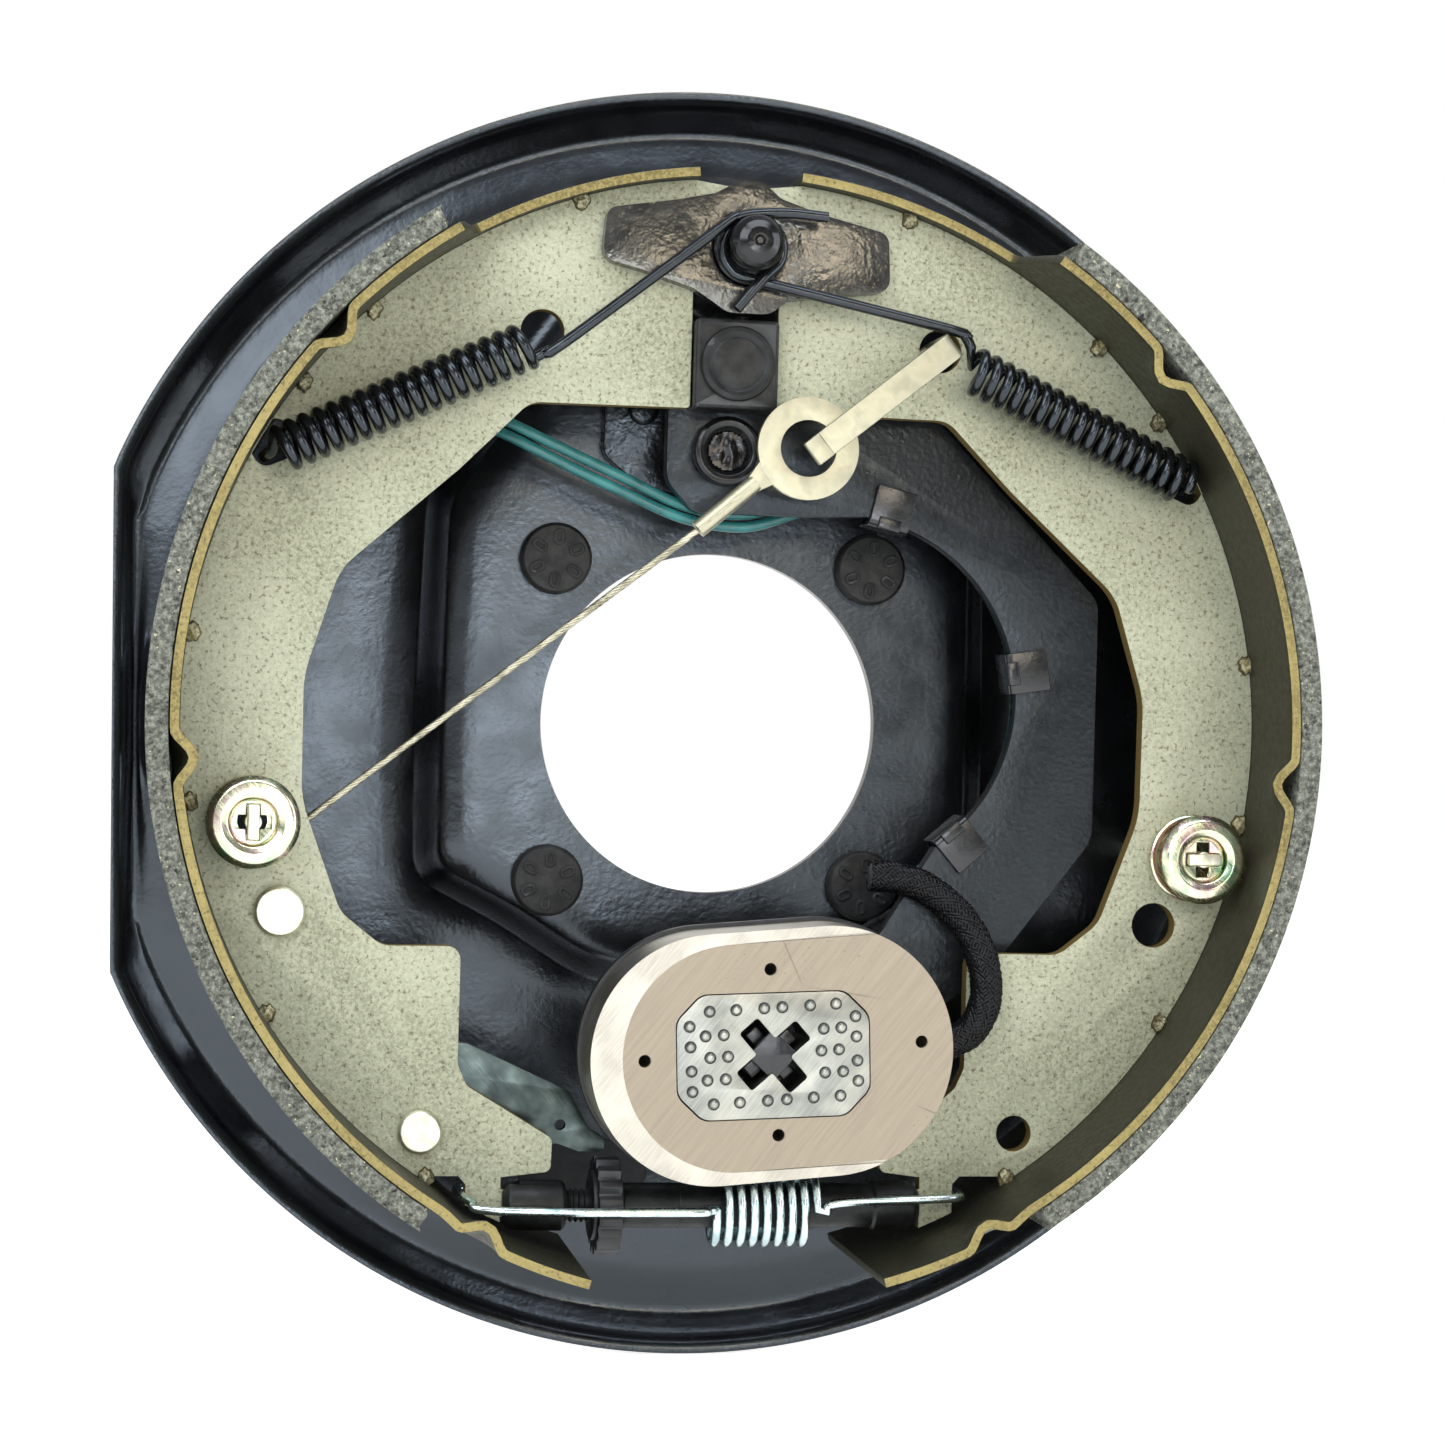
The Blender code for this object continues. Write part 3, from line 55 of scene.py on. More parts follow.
MM = 0.001

# %% [markdown]
# The camera stands a little to the left of the axle's line and about 0.7 m away. The part
# in the picture is turned by a degree or two, so the camera is rolled the other way.

# %% Camera
CAMERA_SIDE_ANGLE = math.radians(10.3)
CAMERA_ROLL = math.radians(1.6)
CAMERA_DISTANCE = 691.5
CAMERA_SHIFT_SIDEWAYS = 3.73
LENS, LENS_SHIFT_UP = 74.74, 0.00104
view_line = Vector((math.sin(CAMERA_SIDE_ANGLE), math.cos(CAMERA_SIDE_ANGLE), 0))
sideways = Vector((math.cos(CAMERA_SIDE_ANGLE), -math.sin(CAMERA_SIDE_ANGLE), 0))
up = Vector((0, 0, 1))
camera_right = sideways * math.cos(CAMERA_ROLL) + up * math.sin(CAMERA_ROLL)
camera_up = up * math.cos(CAMERA_ROLL) - sideways * math.sin(CAMERA_ROLL)
camera = bpy.data.objects.new("camera", bpy.data.cameras.new("camera"))
camera.matrix_world = Matrix((camera_right, camera_up, -view_line)).transposed().to_4x4()
camera.location = (sideways * CAMERA_SHIFT_SIDEWAYS - view_line * CAMERA_DISTANCE) * MM
camera.data.lens = LENS
camera.data.shift_y = LENS_SHIFT_UP
scene.collection.objects.link(camera)
scene.camera = camera
print("camera at", [round(value, 4) for value in camera.location])

# %% [markdown]
# Sizes that the pieces share. They are the same driving sizes that the solid model has,
# so that every fine piece sits where its solid is.

# %% Shared sizes
GAP = 0.3
LINING_RADIUS, LINING_THICK, LINING_FRONT, LINING_BACK = 126.5, 4.7, -59, -2
LINING_TOP_ANGLE, LINING_BOTTOM_ANGLE = 57, -57.8
TABLE_RADIUS, TABLE_THICK = LINING_RADIUS - LINING_THICK - GAP, 2
TABLE_TIP_TOP_ANGLE, TABLE_TIP_BOTTOM_ANGLE = 84.8, -75
TABLE_TIP_INSET, TABLE_FLARE = 21, 1.8
DENT_DEPTH, DENT_ANGLES = 3.6, (41.5, -4.8, -63.2)
WEB_RADIUS, WEB_FRONT, WEB_BACK = TABLE_RADIUS - TABLE_THICK - 0.1, -34, -30
PLATE_THICK, PLATE_RADIUS, PLATE_FLAT, PLATE_BORE = 3, 145.8, 133.3, 38.8
FLAT_OUT, FLAT_TURN = 1.1, 1.1
BOSS_FRONT, FLOOR_FRONT, LIP_FRONT = -3, 7, 2.6
PAD_FRONT, PLATE_BACK = LINING_BACK + 0.4, FLOOR_FRONT + PLATE_THICK + GAP
STUD_PATTERN, STUD_HEAD_RADIUS = 36.5, 8.1
POST, POST_RADIUS = (0, 103.8), 9.6
PIVOT = (-2.2, 60.2)
LEVER_FRONT, LEVER_BACK = -27.5, -23
LEVER_ARC, LEVER_ARC_RADIUS = (25.5, 7), 40.3
BLOCK_CENTRE, BLOCK_SIZE, BLOCK_FRONT = (-2, 78.5), (18.4, 19.6), -38
MAGNET, MAGNET_TILT = (5.7, -69.6), 5
MAGNET_FRONT, MAGNET_BACK, SHELL_BACK = -61, -36, -45.4
MAGNET_HALF_LENGTH, MAGNET_END_RADIUS = 39, 26.5
CORE_SIZE = (41.3, 26.3)
SCREW_Y, SCREW_Z, SOCKET_RADIUS, STAR_RADIUS, STAR_TEETH = -32, -105.8, 5.5, 10.8, 16
EYE, EYE_FRONT, EYE_THICK = (13.4, 60.4), -42.6, 1.6
CABLE_DIAMETER = 1.6
ADJUSTER_FRONT, ADJUSTER_BACK = -29.6, -27.1
CABLE_HOOK = (-61, -76)
HOLD_DOWNS = {"left": (-103.7, -23.3), "right": (105, -27.2)}
RETURN_WIRE, RETURN_COIL_RADIUS = 2.4, 4.3
LEAD_DIAMETER, LEAD_HOLE, SLEEVE_DIAMETER = 2.4, (-70.7, 70.7), 7.5
ADJUSTING_SLOT = (-25, -104)
SIDES = {"left": -1, "right": 1}
WEB_SIDES = {"left": {"gate": 11.6, "leg": (48.4, 56), "step": 58.4, "toe": 37.4, "toe_top": -91},
    "right": {"gate": 7.6, "leg": (44.9, 52.4), "step": 54.4, "toe": 35.6, "toe_top": -94.5}}
SPRING_HOLE, LINK_HOLE = (103.6, 57, 5), (44.4, 84, 4.8)
UPPER_HOLE, LOWER_HOLE = (97.4, -42.6, 5), (66.2, -89.6, 4)
GUIDE, GUIDE_RADIUS = (-UPPER_HOLE[0], UPPER_HOLE[1]), 10.6

# %% [markdown]
# Small helpers for flat outlines. An outline is a list of (x, z) points, and a corner
# with a radius becomes a short arc, so that each drawing needs only its corners.

# %% Outline helpers


def polar(radius, degrees, centre=(0, 0)):
    """A point at a radius and an angle round a centre."""
    angle = math.radians(degrees)
    return centre[0] + radius * math.cos(angle), centre[1] + radius * math.sin(angle)


def arc(centre, radius, start, end, steps):
    """Points along an arc, both ends included."""
    return [polar(radius, start + (end - start) * i / steps, centre) for i in range(steps + 1)]


def circle(centre, radius, count=64):
    """A closed circle."""
    return [polar(radius, 360 * i / count, centre) for i in range(count)]


def rounded(corners, steps=7, closed=True):
    """Replace each (x, z, radius) corner with an arc that touches both of its sides."""
    points = []
    for i, (x, z, radius) in enumerate(corners):
        here = Vector((x, z))
        if radius <= 0 or (not closed and i in (0, len(corners) - 1)):
            points.append((x, z))
            continue
        before = Vector(corners[i - 1][:2]) - here
        after = Vector(corners[(i + 1) % len(corners)][:2]) - here
        half = before.angle(after) / 2
        reach = min(radius / math.tan(half), 0.49 * before.length, 0.49 * after.length)
        radius = reach * math.tan(half)
        middle = here + (before.normalized() + after.normalized()).normalized() * (
            radius / math.sin(half))
        first = here + before.normalized() * reach - middle
        last = here + after.normalized() * reach - middle
        start, end = math.atan2(first.y, first.x), math.atan2(last.y, last.x)
        turn = (end - start + math.pi) % (2 * math.pi) - math.pi
        for k in range(steps + 1):
            angle = start + turn * k / steps
            points.append((middle.x + radius * math.cos(angle),
                middle.y + radius * math.sin(angle)))
    return points


def stadium(half_length, radius, steps=28):
    """An oval with straight sides, lying along X."""
    run = half_length - radius
    return arc((run, 0), radius, -90, 90, steps) + arc((-run, 0), radius, 90, 270, steps)


def placed(loop, centre, degrees=0):
    """Turn an outline about the origin and move it to a centre."""
    c, s = math.cos(math.radians(degrees)), math.sin(math.radians(degrees))
    return [(centre[0] + x * c - z * s, centre[1] + x * s + z * c) for x, z in loop]


def mirrored(loop, sign):
    """The same outline on the right, or mirrored to the left."""
    return [(sign * x, z) for x, z in loop]


print("a corner of radius 3 becomes", len(rounded([(0, 0, 3), (9, 0, 0), (9, 9, 0)])) - 2,
    "points")

# %% [markdown]
# Pieces come from five kinds of making. A stamped or cut plate is a flat outline with a
# thickness, a turned part is a profile spun round an axis, a wire is a line with a round
# section, a box is a square plate, and a pressed skin is a grid of points. Each of them
# ends as a mesh with its normals split at sharp edges.

# %% Mesh helpers


def keep(name, mesh, material, sharp=32):
    """Link a mesh as a piece, smooth except at its sharp edges."""
    obj = bpy.data.objects.new(name, mesh)
    scene.collection.objects.link(obj)
    mesh.materials.clear()
    mesh.materials.append(material)
    mesh.shade_smooth()
    mesh.set_sharp_from_angle(angle=math.radians(sharp))
    return obj


def from_work(name, work, material, sharp=32):
    """Close mesh work and keep it as a piece."""
    mesh = bpy.data.meshes.new(name)
    work.to_mesh(mesh)
    work.free()
    return keep(name, mesh, material, sharp)


def evaluated(obj):
    """An object's mesh with its curve bevel or its modifiers carried out."""
    bpy.context.view_layer.update()
    graph = bpy.context.evaluated_depsgraph_get()
    return bpy.data.meshes.new_from_object(obj.evaluated_get(graph))


def from_curve(name, curve, matrix, material, bevel=0, sharp=32):
    """Turn a filled or bevelled curve into a welded mesh piece, with its edges rounded."""
    source = bpy.data.objects.new(name, curve)
    source.matrix_world = matrix
    scene.collection.objects.link(source)
    mesh = evaluated(source)
    mesh.transform(matrix)
    bpy.data.objects.remove(source)
    bpy.data.curves.remove(curve)
    work = bmesh.new()
    work.from_mesh(mesh)
    bmesh.ops.remove_doubles(work, verts=work.verts, dist=0.002 * MM)
    if bevel:
        bmesh.ops.dissolve_limit(work, angle_limit=0.001, verts=work.verts, edges=work.edges)
        sharp_edges = [e for e in work.edges if len(e.link_faces) == 2
            and e.calc_face_angle() > 0.9]
        bmesh.ops.bevel(work, geom=sharp_edges, offset=bevel * MM, segments=3, profile=0.5,
            affect="EDGES", clamp_overlap=True)
    work.to_mesh(mesh)
    work.free()
    return keep(name, mesh, material, sharp)


FACE_ON = Matrix.Rotation(math.pi / 2, 4, "X")


def standing(run):
    """A turn that lays a drawing's X along a direction and its Y towards the viewer."""
    towards_viewer = Vector((0, -1, 0))
    return Matrix((run, towards_viewer, run.cross(towards_viewer))).transposed().to_4x4()


def flat_piece(name, loops, front, back, material, bevel=0.35, place=None):
    """A plate between two depths along Y, from an outline and its holes."""
    curve = bpy.data.curves.new(name, "CURVE")
    curve.dimensions = "2D"
    curve.fill_mode = "BOTH"
    curve.extrude = (back - front) / 2 * MM
    for loop in loops:
        spline = curve.splines.new("POLY")
        spline.points.add(len(loop) - 1)
        spline.use_cyclic_u = True
        for point, (x, z) in zip(spline.points, loop):
            point.co = (x * MM, z * MM, 0, 1)
    if place is None:
        place = Matrix.Translation((0, (front + back) / 2 * MM, 0)) @ FACE_ON
    return from_curve(name, curve, place, material, bevel)


def turned(name, corners, soft, centre, material, axis="Y", steps=72):
    """Spin (radius, position, corner radius) corners, softened in steps, round an axis."""
    profile = rounded(corners, soft, closed=False)
    work = bmesh.new()
    rings = []
    for radius, at in profile:
        ring = []
        for i in range(steps if radius > 1e-6 else 1):
            a, b = polar(radius, 360 * i / steps)
            spot = (centre[0] + a, at, centre[1] + b)
            if axis == "X":
                spot = (at, centre[0] + a, centre[1] + b)
            ring.append(work.verts.new(Vector(spot) * MM))
        rings.append(ring)
    for ring, following in zip(rings, rings[1:]):
        for i in range(steps):
            quad = [ring[i % len(ring)], ring[(i + 1) % len(ring)],
                following[(i + 1) % len(following)], following[i % len(following)]]
            quad = list(dict.fromkeys(quad))
            if len(quad) > 2:
                work.faces.new(quad)
    if profile[0] == profile[-1]:
        bmesh.ops.remove_doubles(work, verts=work.verts, dist=0.0005 * MM)
    bmesh.ops.recalc_face_normals(work, faces=work.faces)
    return from_work(name, work, material)


def smooth_path(points, spacing):
    """Points about a spacing apart on a smooth curve through the given points."""
    knots = [Vector(p) for p in points]
    knots = [2 * knots[0] - knots[1], *knots, 2 * knots[-1] - knots[-2]]
    path = [knots[1]]
    for i in range(1, len(knots) - 2):
        a, b, c, d = knots[i - 1:i + 3]
        count = max(1, round((c - b).length / spacing))
        for k in range(1, count + 1):
            t = k / count
            path.append(0.5 * (2 * b + (c - a) * t + (2 * a - 5 * b + 4 * c - d) * t ** 2
                + (3 * b - a - 3 * c + d) * t ** 3))
    return [tuple(p) for p in path]


def coil(start, end, radius, turns, first_angle, per_turn=26):
    """Points of a coil between two axis ends, its angle measured from the front."""
    start, end = Vector(start), Vector(end)
    along = (end - start).normalized()
    front = Vector((0, -1, 0)) if abs(along.y) < 0.9 else Vector((1, 0, 0))
    side = along.cross(front).normalized()
    front = side.cross(along)
    count = round(turns * per_turn)
    points = []
    for i in range(count + 1):
        angle = math.radians(first_angle + 360 * turns * i / count)
        out = front * math.cos(angle) + side * math.sin(angle)
        points.append(tuple(start.lerp(end, i / count) + radius * out))
    return points


def wire(name, points, diameter, material, sides=14):
    """A round wire along (x, y, z) points."""
    curve = bpy.data.curves.new(name, "CURVE")
    curve.dimensions = "3D"
    curve.bevel_depth = diameter / 2 * MM
    curve.bevel_resolution = max(0, sides // 2 - 2)
    curve.use_fill_caps = True
    spline = curve.splines.new("POLY")
    spline.points.add(len(points) - 1)
    for point, place in zip(spline.points, points):
        point.co = (*(Vector(place) * MM), 1)
    return from_curve(name, curve, Matrix.Identity(4), material, sharp=60)


def block(name, low, high, material, bevel=0.4):
    """A box between two corners with rounded edges."""
    low, high = Vector(low), Vector(high)
    loop = [(low.x, low.z), (high.x, low.z), (high.x, high.z), (low.x, high.z)]
    return flat_piece(name, [loop], low.y, high.y, material, bevel)


def join(name, pieces):
    """Join several meshes into one piece, keeping their materials."""
    work = bmesh.new()
    materials = []
    for piece in pieces:
        offset = {}
        for i, material in enumerate(piece.data.materials):
            if material not in materials:
                materials.append(material)
            offset[i] = materials.index(material)
        mesh = piece.data
        start = len(work.faces)
        work.from_mesh(mesh)
        work.faces.ensure_lookup_table()
        for face in work.faces[start:]:
            face.material_index = offset[face.material_index]
        bpy.data.objects.remove(piece)
    mesh = bpy.data.meshes.new(name)
    work.to_mesh(mesh)
    work.free()
    obj = bpy.data.objects.new(name, mesh)
    scene.collection.objects.link(obj)
    for material in materials:
        mesh.materials.append(material)
    return obj


def dress(piece, body, slot, *nodes):
    """Fix a piece to its body and let it stand for its solids; the slot, a finish's name, is not
    used.
    """
    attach(piece, body)
    if nodes:
        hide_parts(*nodes)
    return piece


print("piece kinds: flat, turned, wire, box and pressed skin")

# %% [markdown]
# Colours are written as the sRGB values that an eye or a colour picker reads, and Blender
# works with linear light, so one function turns the first into the second. One more
# function adds a node, fills it in and links it, so that each finish reads as a short
# list. A pattern is read from the place on the object, so its scale is a real size.

# %% Colour and node helpers


def colour(code):
    """Turn an sRGB hex value into linear red, green, blue and alpha."""
    channels = [int(code[i:i + 2], 16) / 255 for i in (1, 3, 5)]
    return (*[c / 12.92 if c <= 0.04045 else ((c + 0.055) / 1.055) ** 2.4 for c in channels], 1)


def add(material, kind, out=0, stops=(), spot=None, **values):
    """Add a node, fill it in, link it and hand back an output; spot is a pattern's width in mm."""
    tree = material.node_tree
    node = tree.nodes.new("ShaderNode" + kind)
    if spot:
        values["Scale"] = 1000 / spot
    if kind.startswith("Tex") and kind != "TexCoord":
        values.setdefault("Vector", tree.nodes["place"].outputs["Object"])
    for key, value in values.items():
        if hasattr(node, key):
            setattr(node, key, value)
            continue
        socket = node.inputs[key.replace("_", " ")]
        if isinstance(value, bpy.types.NodeSocket):
            tree.links.new(value, socket)
        else:
            socket.default_value = colour(value) if isinstance(value, str) else value
    for i, (position, shade) in enumerate(stops):
        points = node.color_ramp.elements
        point = points[i] if i < 2 else points.new(position)
        point.position = position
        point.color = colour(shade) if isinstance(shade, str) else (shade, shade, shade, 1)
    return node.outputs[out]


def begin(name, **values):
    """Start a finish: its shader values and the place that its patterns are read from."""
    material = bpy.data.materials.new(name)
    material.use_nodes = True
    shader = material.node_tree.nodes["Principled BSDF"]
    for socket, value in values.items():
        shader.inputs[socket.replace("_", " ")].default_value = value
    material.node_tree.nodes.new("ShaderNodeTexCoord").name = "place"
    return material


def end(material, shade, haze, low, high, height, depth, **under):
    """Link a finish: its colour, a roughness from low to high, and a relief in millimetres."""
    rough = add(material, "ValToRGB", Fac=haze, stops=[(0.3, low), (0.7, high)])
    relief = add(material, "Bump", Height=height, Distance=depth * MM, **under)
    shader = material.node_tree.nodes["Principled BSDF"]
    for socket, value in (("Base Color", shade), ("Roughness", rough), ("Normal", relief)):
        material.node_tree.links.new(value, shader.inputs[socket])
    return material


print("zinc grey", [round(c, 3) for c in colour("#acaf9b")])

# %% [markdown]
# The pressed plate and the springs are black. The plate has an electrocoat: a thin, even,
# half-gloss film with a fine orange peel, dust in scattered patches and a rub of brown
# primer at the cut bore. Its reflections look a little blue, so the mirror tint is blue too.

# %% Electrocoat on the plate
BLUE_GLOSS = (0.80, 0.91, 1, 1)


def electrocoat(m):
    """A thin dip coat: black with soft clouds, specks of dust and a brown bore edge."""
    clouds = add(m, "TexNoise", spot=14, Detail=3)
    shade = add(m, "ValToRGB", Fac=clouds, stops=[(0.35, "#09090a"), (0.65, "#131415")])
    specks = add(m, "ValToRGB", Fac=add(m, "TexNoise", spot=0.9), stops=[(0.70, 0), (0.76, 1)])
    where = add(m, "ValToRGB", Fac=add(m, "TexNoise", spot=22), stops=[(0.5, 0), (0.7, 0.5)])
    dust = add(m, "MixRGB", blend_type="MULTIPLY", Fac=1, Color1=specks, Color2=where)
    dusty = add(m, "MixRGB", Fac=dust, Color1=shade, Color2="#4a4b47")
    place = m.node_tree.nodes["place"].outputs["Object"]
    across = add(m, "VectorMath", operation="MULTIPLY", Vector=place)
    across.node.inputs[1].default_value = (1, 0, 1)
    radius = add(m, "VectorMath", "Value", operation="LENGTH", Vector=across)
    bore = add(m, "MapRange", Value=radius, From_Min=0.0386, From_Max=0.0392, To_Min=0.8, To_Max=0)
    brown = add(m, "MixRGB", Fac=bore, Color1=dusty, Color2="#4b3d2c")
    peel = add(m, "Bump", Height=add(m, "TexNoise", spot=1.1), Distance=0.05 * MM)
    waves = add(m, "TexNoise", spot=7)
    haze = add(m, "TexNoise", spot=9, Detail=3)
    return end(m, brown, haze, 0.20, 0.30, waves, 0.12, Normal=peel)


ELECTROCOAT = electrocoat(begin("electrocoat_black", Specular_Tint=BLUE_GLOSS, IOR=1.72))

# %% [markdown]
# The stamped lever, the bracket and the guide plate carry a thicker paint that dried in
# wrinkles of about a millimetre, and the long springs an enamel with a high gloss. It is
# the same recipe with other depths: clouds for the colour, and a relief for the wrinkles.

# %% Wrinkle paint and spring enamel


def paint(name, dark, pale, wrinkle, depth, low, high, tint=BLUE_GLOSS, ior=1.6):
    """Black paint with a relief of a width and a depth in millimetres, worn on its highs."""
    m = begin(name, Specular_Tint=tint, IOR=ior)
    height = add(m, "TexNoise", spot=wrinkle, Detail=1.5)
    worn = add(m, "ValToRGB", Fac=height, stops=[(0.55, 0), (0.85, 0.35)])
    clouds = add(m, "ValToRGB", Fac=add(m, "TexNoise", spot=11), stops=[(0.35, dark), (0.7, pale)])
    shade = add(m, "MixRGB", Fac=worn, Color1=clouds, Color2="#3d4042")
    haze = add(m, "TexNoise", spot=4, Detail=2)
    return end(m, shade, haze, low, high, height, depth)


GUIDE_PAINT = paint("guide_plate_wrinkle_paint", "#0f1011", "#232424", 1.3, 0.12, 0.16, 0.28,
    (1, 0.97, 0.86, 1), 1.9)
BRACKET_PAINT = paint("bracket_wrinkle_paint", "#0c0c0d", "#191a1b", 1.4, 0.13, 0.20, 0.34)
LEVER_PAINT = paint("lever_satin_paint", "#0c0d0d", "#181919", 1.2, 0.10, 0.26, 0.40, BLUE_GLOSS,
    1.5)
SPRING_ENAMEL = paint("spring_enamel_black", "#08080a", "#141517", 1.6, 0.05, 0.12, 0.24)
print("black coats:", [m.name for m in (ELECTROCOAT, GUIDE_PAINT, BRACKET_PAINT, LEVER_PAINT,
    SPRING_ENAMEL)])

# %% [markdown]
# Turned and forged pieces, such as the anchor post, the studs and the adjuster, are
# steel with a black phosphate skin. It is a dull metal with fine crystals of a fraction
# of a millimetre, and it rubs pale where hands and tools touch its edges.

# %% Phosphated steel


def phosphate(name, dark, pale, low, high, grain, metallic, wear=0.55):
    """Blackened steel with a fine crystal grain and worn edges."""
    m = begin(name, Metallic=metallic)
    worn = add(m, "ValToRGB", Fac=add(m, "NewGeometry", "Pointiness"),
        stops=[(0.53, 0), (0.60, wear)])
    clouds = add(m, "TexNoise", spot=3.5, Detail=3)
    skin = add(m, "ValToRGB", Fac=clouds, stops=[(0.35, dark), (0.7, pale)])
    shade = add(m, "MixRGB", Fac=worn, Color1=skin, Color2="#6b6f70")
    crystals = add(m, "TexNoise", spot=grain, Detail=3)
    haze = add(m, "TexNoise", spot=2.2, Detail=3)
    return end(m, shade, haze, low, high, crystals, 0.06)


POST_STEEL = phosphate("anchor_steel_gloss_black", "#08080a", "#161718", 0.14, 0.28, 1.2, 0, 0.12)
BLACK_STEEL = phosphate("phosphated_steel", "#121313", "#292a2a", 0.34, 0.52, 0.6, 0.4, 0.35)
STUD_STEEL = phosphate("stud_steel_phosphated", "#1b1b1b", "#2f2f2e", 0.42, 0.62, 0.5, 0.45, 0.35)

# %% [markdown]
# The shoes are zinc plated and then dipped in a yellow chromate. Seen closely the film is
# a mix of grey green and straw spots less than a millimetre wide, with broad clouds.
# On the webs' cut edges the film is thicker and turns gold brown. Faces that turn away
# from the front take a second colour, which on the table's inner wall and round the weld
# beads is a darker painted shade.

# %% Yellow chromate on the shoes


def chromate(name, cloud_dark, cloud_pale, side_film_and_painted_shade, metallic=0.62, straw_shade="#c6c8aa"):
    """Zinc with a yellow chromate film, speckled on its front faces; faces turned away take
    a brown film on cut edges and a painted shade on the table and the beads.
    """
    m = begin(name, Metallic=metallic)
    clouds = add(m, "TexNoise", spot=26, Detail=3)
    film = add(m, "ValToRGB", Fac=clouds, stops=[(0.34, cloud_dark), (0.66, cloud_pale)])
    fine = add(m, "TexNoise", spot=0.75, Detail=2, Roughness=0.7)
    straw = add(m, "ValToRGB", Fac=fine, stops=[(0.40, 0), (0.60, 0.60)])
    pale = add(m, "MixRGB", Fac=straw, Color1=film, Color2=straw_shade)
    spots = add(m, "TexNoise", spot=1, Detail=2, Roughness=0.6)
    pits = add(m, "ValToRGB", Fac=spots, stops=[(0.33, 0.72), (0.44, 0)])
    speckled = add(m, "MixRGB", Fac=pits, Color1=pale, Color2="#5b5236")
    normal = add(m, "VectorMath", operation="ABSOLUTE", Vector=m.node_tree.nodes["place"].outputs[
        "Normal"])
    facing = add(m, "ValToRGB", Fac=add(m, "SeparateXYZ", "Y", Vector=normal),
        stops=[(0.45, 0), (0.85, 1)])
    # Faces that do not look along Y take the side colour: brown film on cut edges, painted shade
    # on the table's inner wall and on the sides of the weld beads.
    shade = add(m, "MixRGB", Fac=facing, Color1=side_film_and_painted_shade, Color2=speckled)
    grit = add(m, "Bump", Height=fine, Distance=0.05 * MM)
    dents = add(m, "TexNoise", spot=2.5)
    haze = add(m, "TexNoise", spot=1.4, Detail=3)
    return end(m, shade, haze, 0.42, 0.60, dents, 0.06, Normal=grit)


WEB_ZINC = chromate("yellow_chromate_zinc_web", "#96987f", "#b2b49b", "#7d6838", 0.22)
# The table's side colour is painted shade: it darkens the strip's inner wall.
TABLE_ZINC = chromate("yellow_chromate_zinc_table", "#6f6339", "#9c8e5a", "#3b3a2c", 0.5,
    "#a89a62")
# The beads' side colour is painted shade round the rim of each ball.
WELD_STEEL = chromate("weld_bead_brown", "#5f5433", "#8b7c4c", "#4f4529", 0.45)

# %% [markdown]
# The lining is a moulded friction compound: mineral fibre, rubber crumb and chips of
# brass in a black binder. It is left rough, so it has no gloss, and its grain is coarse
# enough to see: about a millimetre, with pits where crumbs have broken out.

# %% Friction compound


def friction_block(m):
    """Grey grain with pale chips and dark pits."""
    grain = add(m, "TexNoise", spot=1.1, Detail=4, Roughness=0.75)
    base = add(m, "ValToRGB", Fac=grain, stops=[(0.34, "#2c2d27"), (0.66, "#989a8c"),
        (0.50, "#686a5f")])
    chips = add(m, "ValToRGB", Fac=add(m, "TexNoise", spot=0.9), stops=[(0.69, 0), (0.73, 1)])
    speckled = add(m, "MixRGB", Fac=chips, Color1=base, Color2="#c9c2a0")
    crumbs = add(m, "TexNoise", spot=1.9, Detail=3)
    holes = add(m, "ValToRGB", Fac=crumbs, stops=[(0.30, 1), (0.37, 0)])
    shade = add(m, "MixRGB", Fac=holes, Color1=speckled, Color2="#22221d")
    return end(m, shade, grain, 0.78, 0.95, grain, 0.35)


FRICTION_BLOCK = friction_block(begin("moulded_friction_compound"))
print("shoe finishes:", WEB_ZINC.name, TABLE_ZINC.name, FRICTION_BLOCK.name)

# %% [markdown]
# The small bright parts are zinc too. The eye and its link are almost white, the cups
# shimmer in green, straw and pink because their film is as thin as a wave of light, and
# the bottom spring has a blue passivation. Fine lines from rolling run over all of them;
# a line is a noise that is stretched twenty times along one direction.

# %% Bright zinc


def lines(m, width, angle, detail=2, stretch=0.05):
    """A noise drawn out along one direction in the plate's plane."""
    place = m.node_tree.nodes["place"].outputs["Object"]
    turned_place = add(m, "Mapping", Vector=place, Rotation=(0, math.radians(angle), 0))
    squeezed = add(m, "Mapping", Vector=turned_place, Scale=(1, 1, stretch))
    return add(m, "TexNoise", Vector=squeezed, spot=width, Detail=detail)


def bright_zinc(name, shades, low, high, depth=0.05):
    """Bright plated steel with soft clouds of three colours and fine rolling lines."""
    m = begin(name, Metallic=1)
    streaks = lines(m, 0.5, 40)
    clouds = add(m, "TexNoise", spot=4.5, Detail=2)
    shade = add(m, "ValToRGB", Fac=clouds, stops=list(zip((0.30, 0.70, 0.50), shades)))
    return end(m, shade, streaks, low, high, streaks, depth)


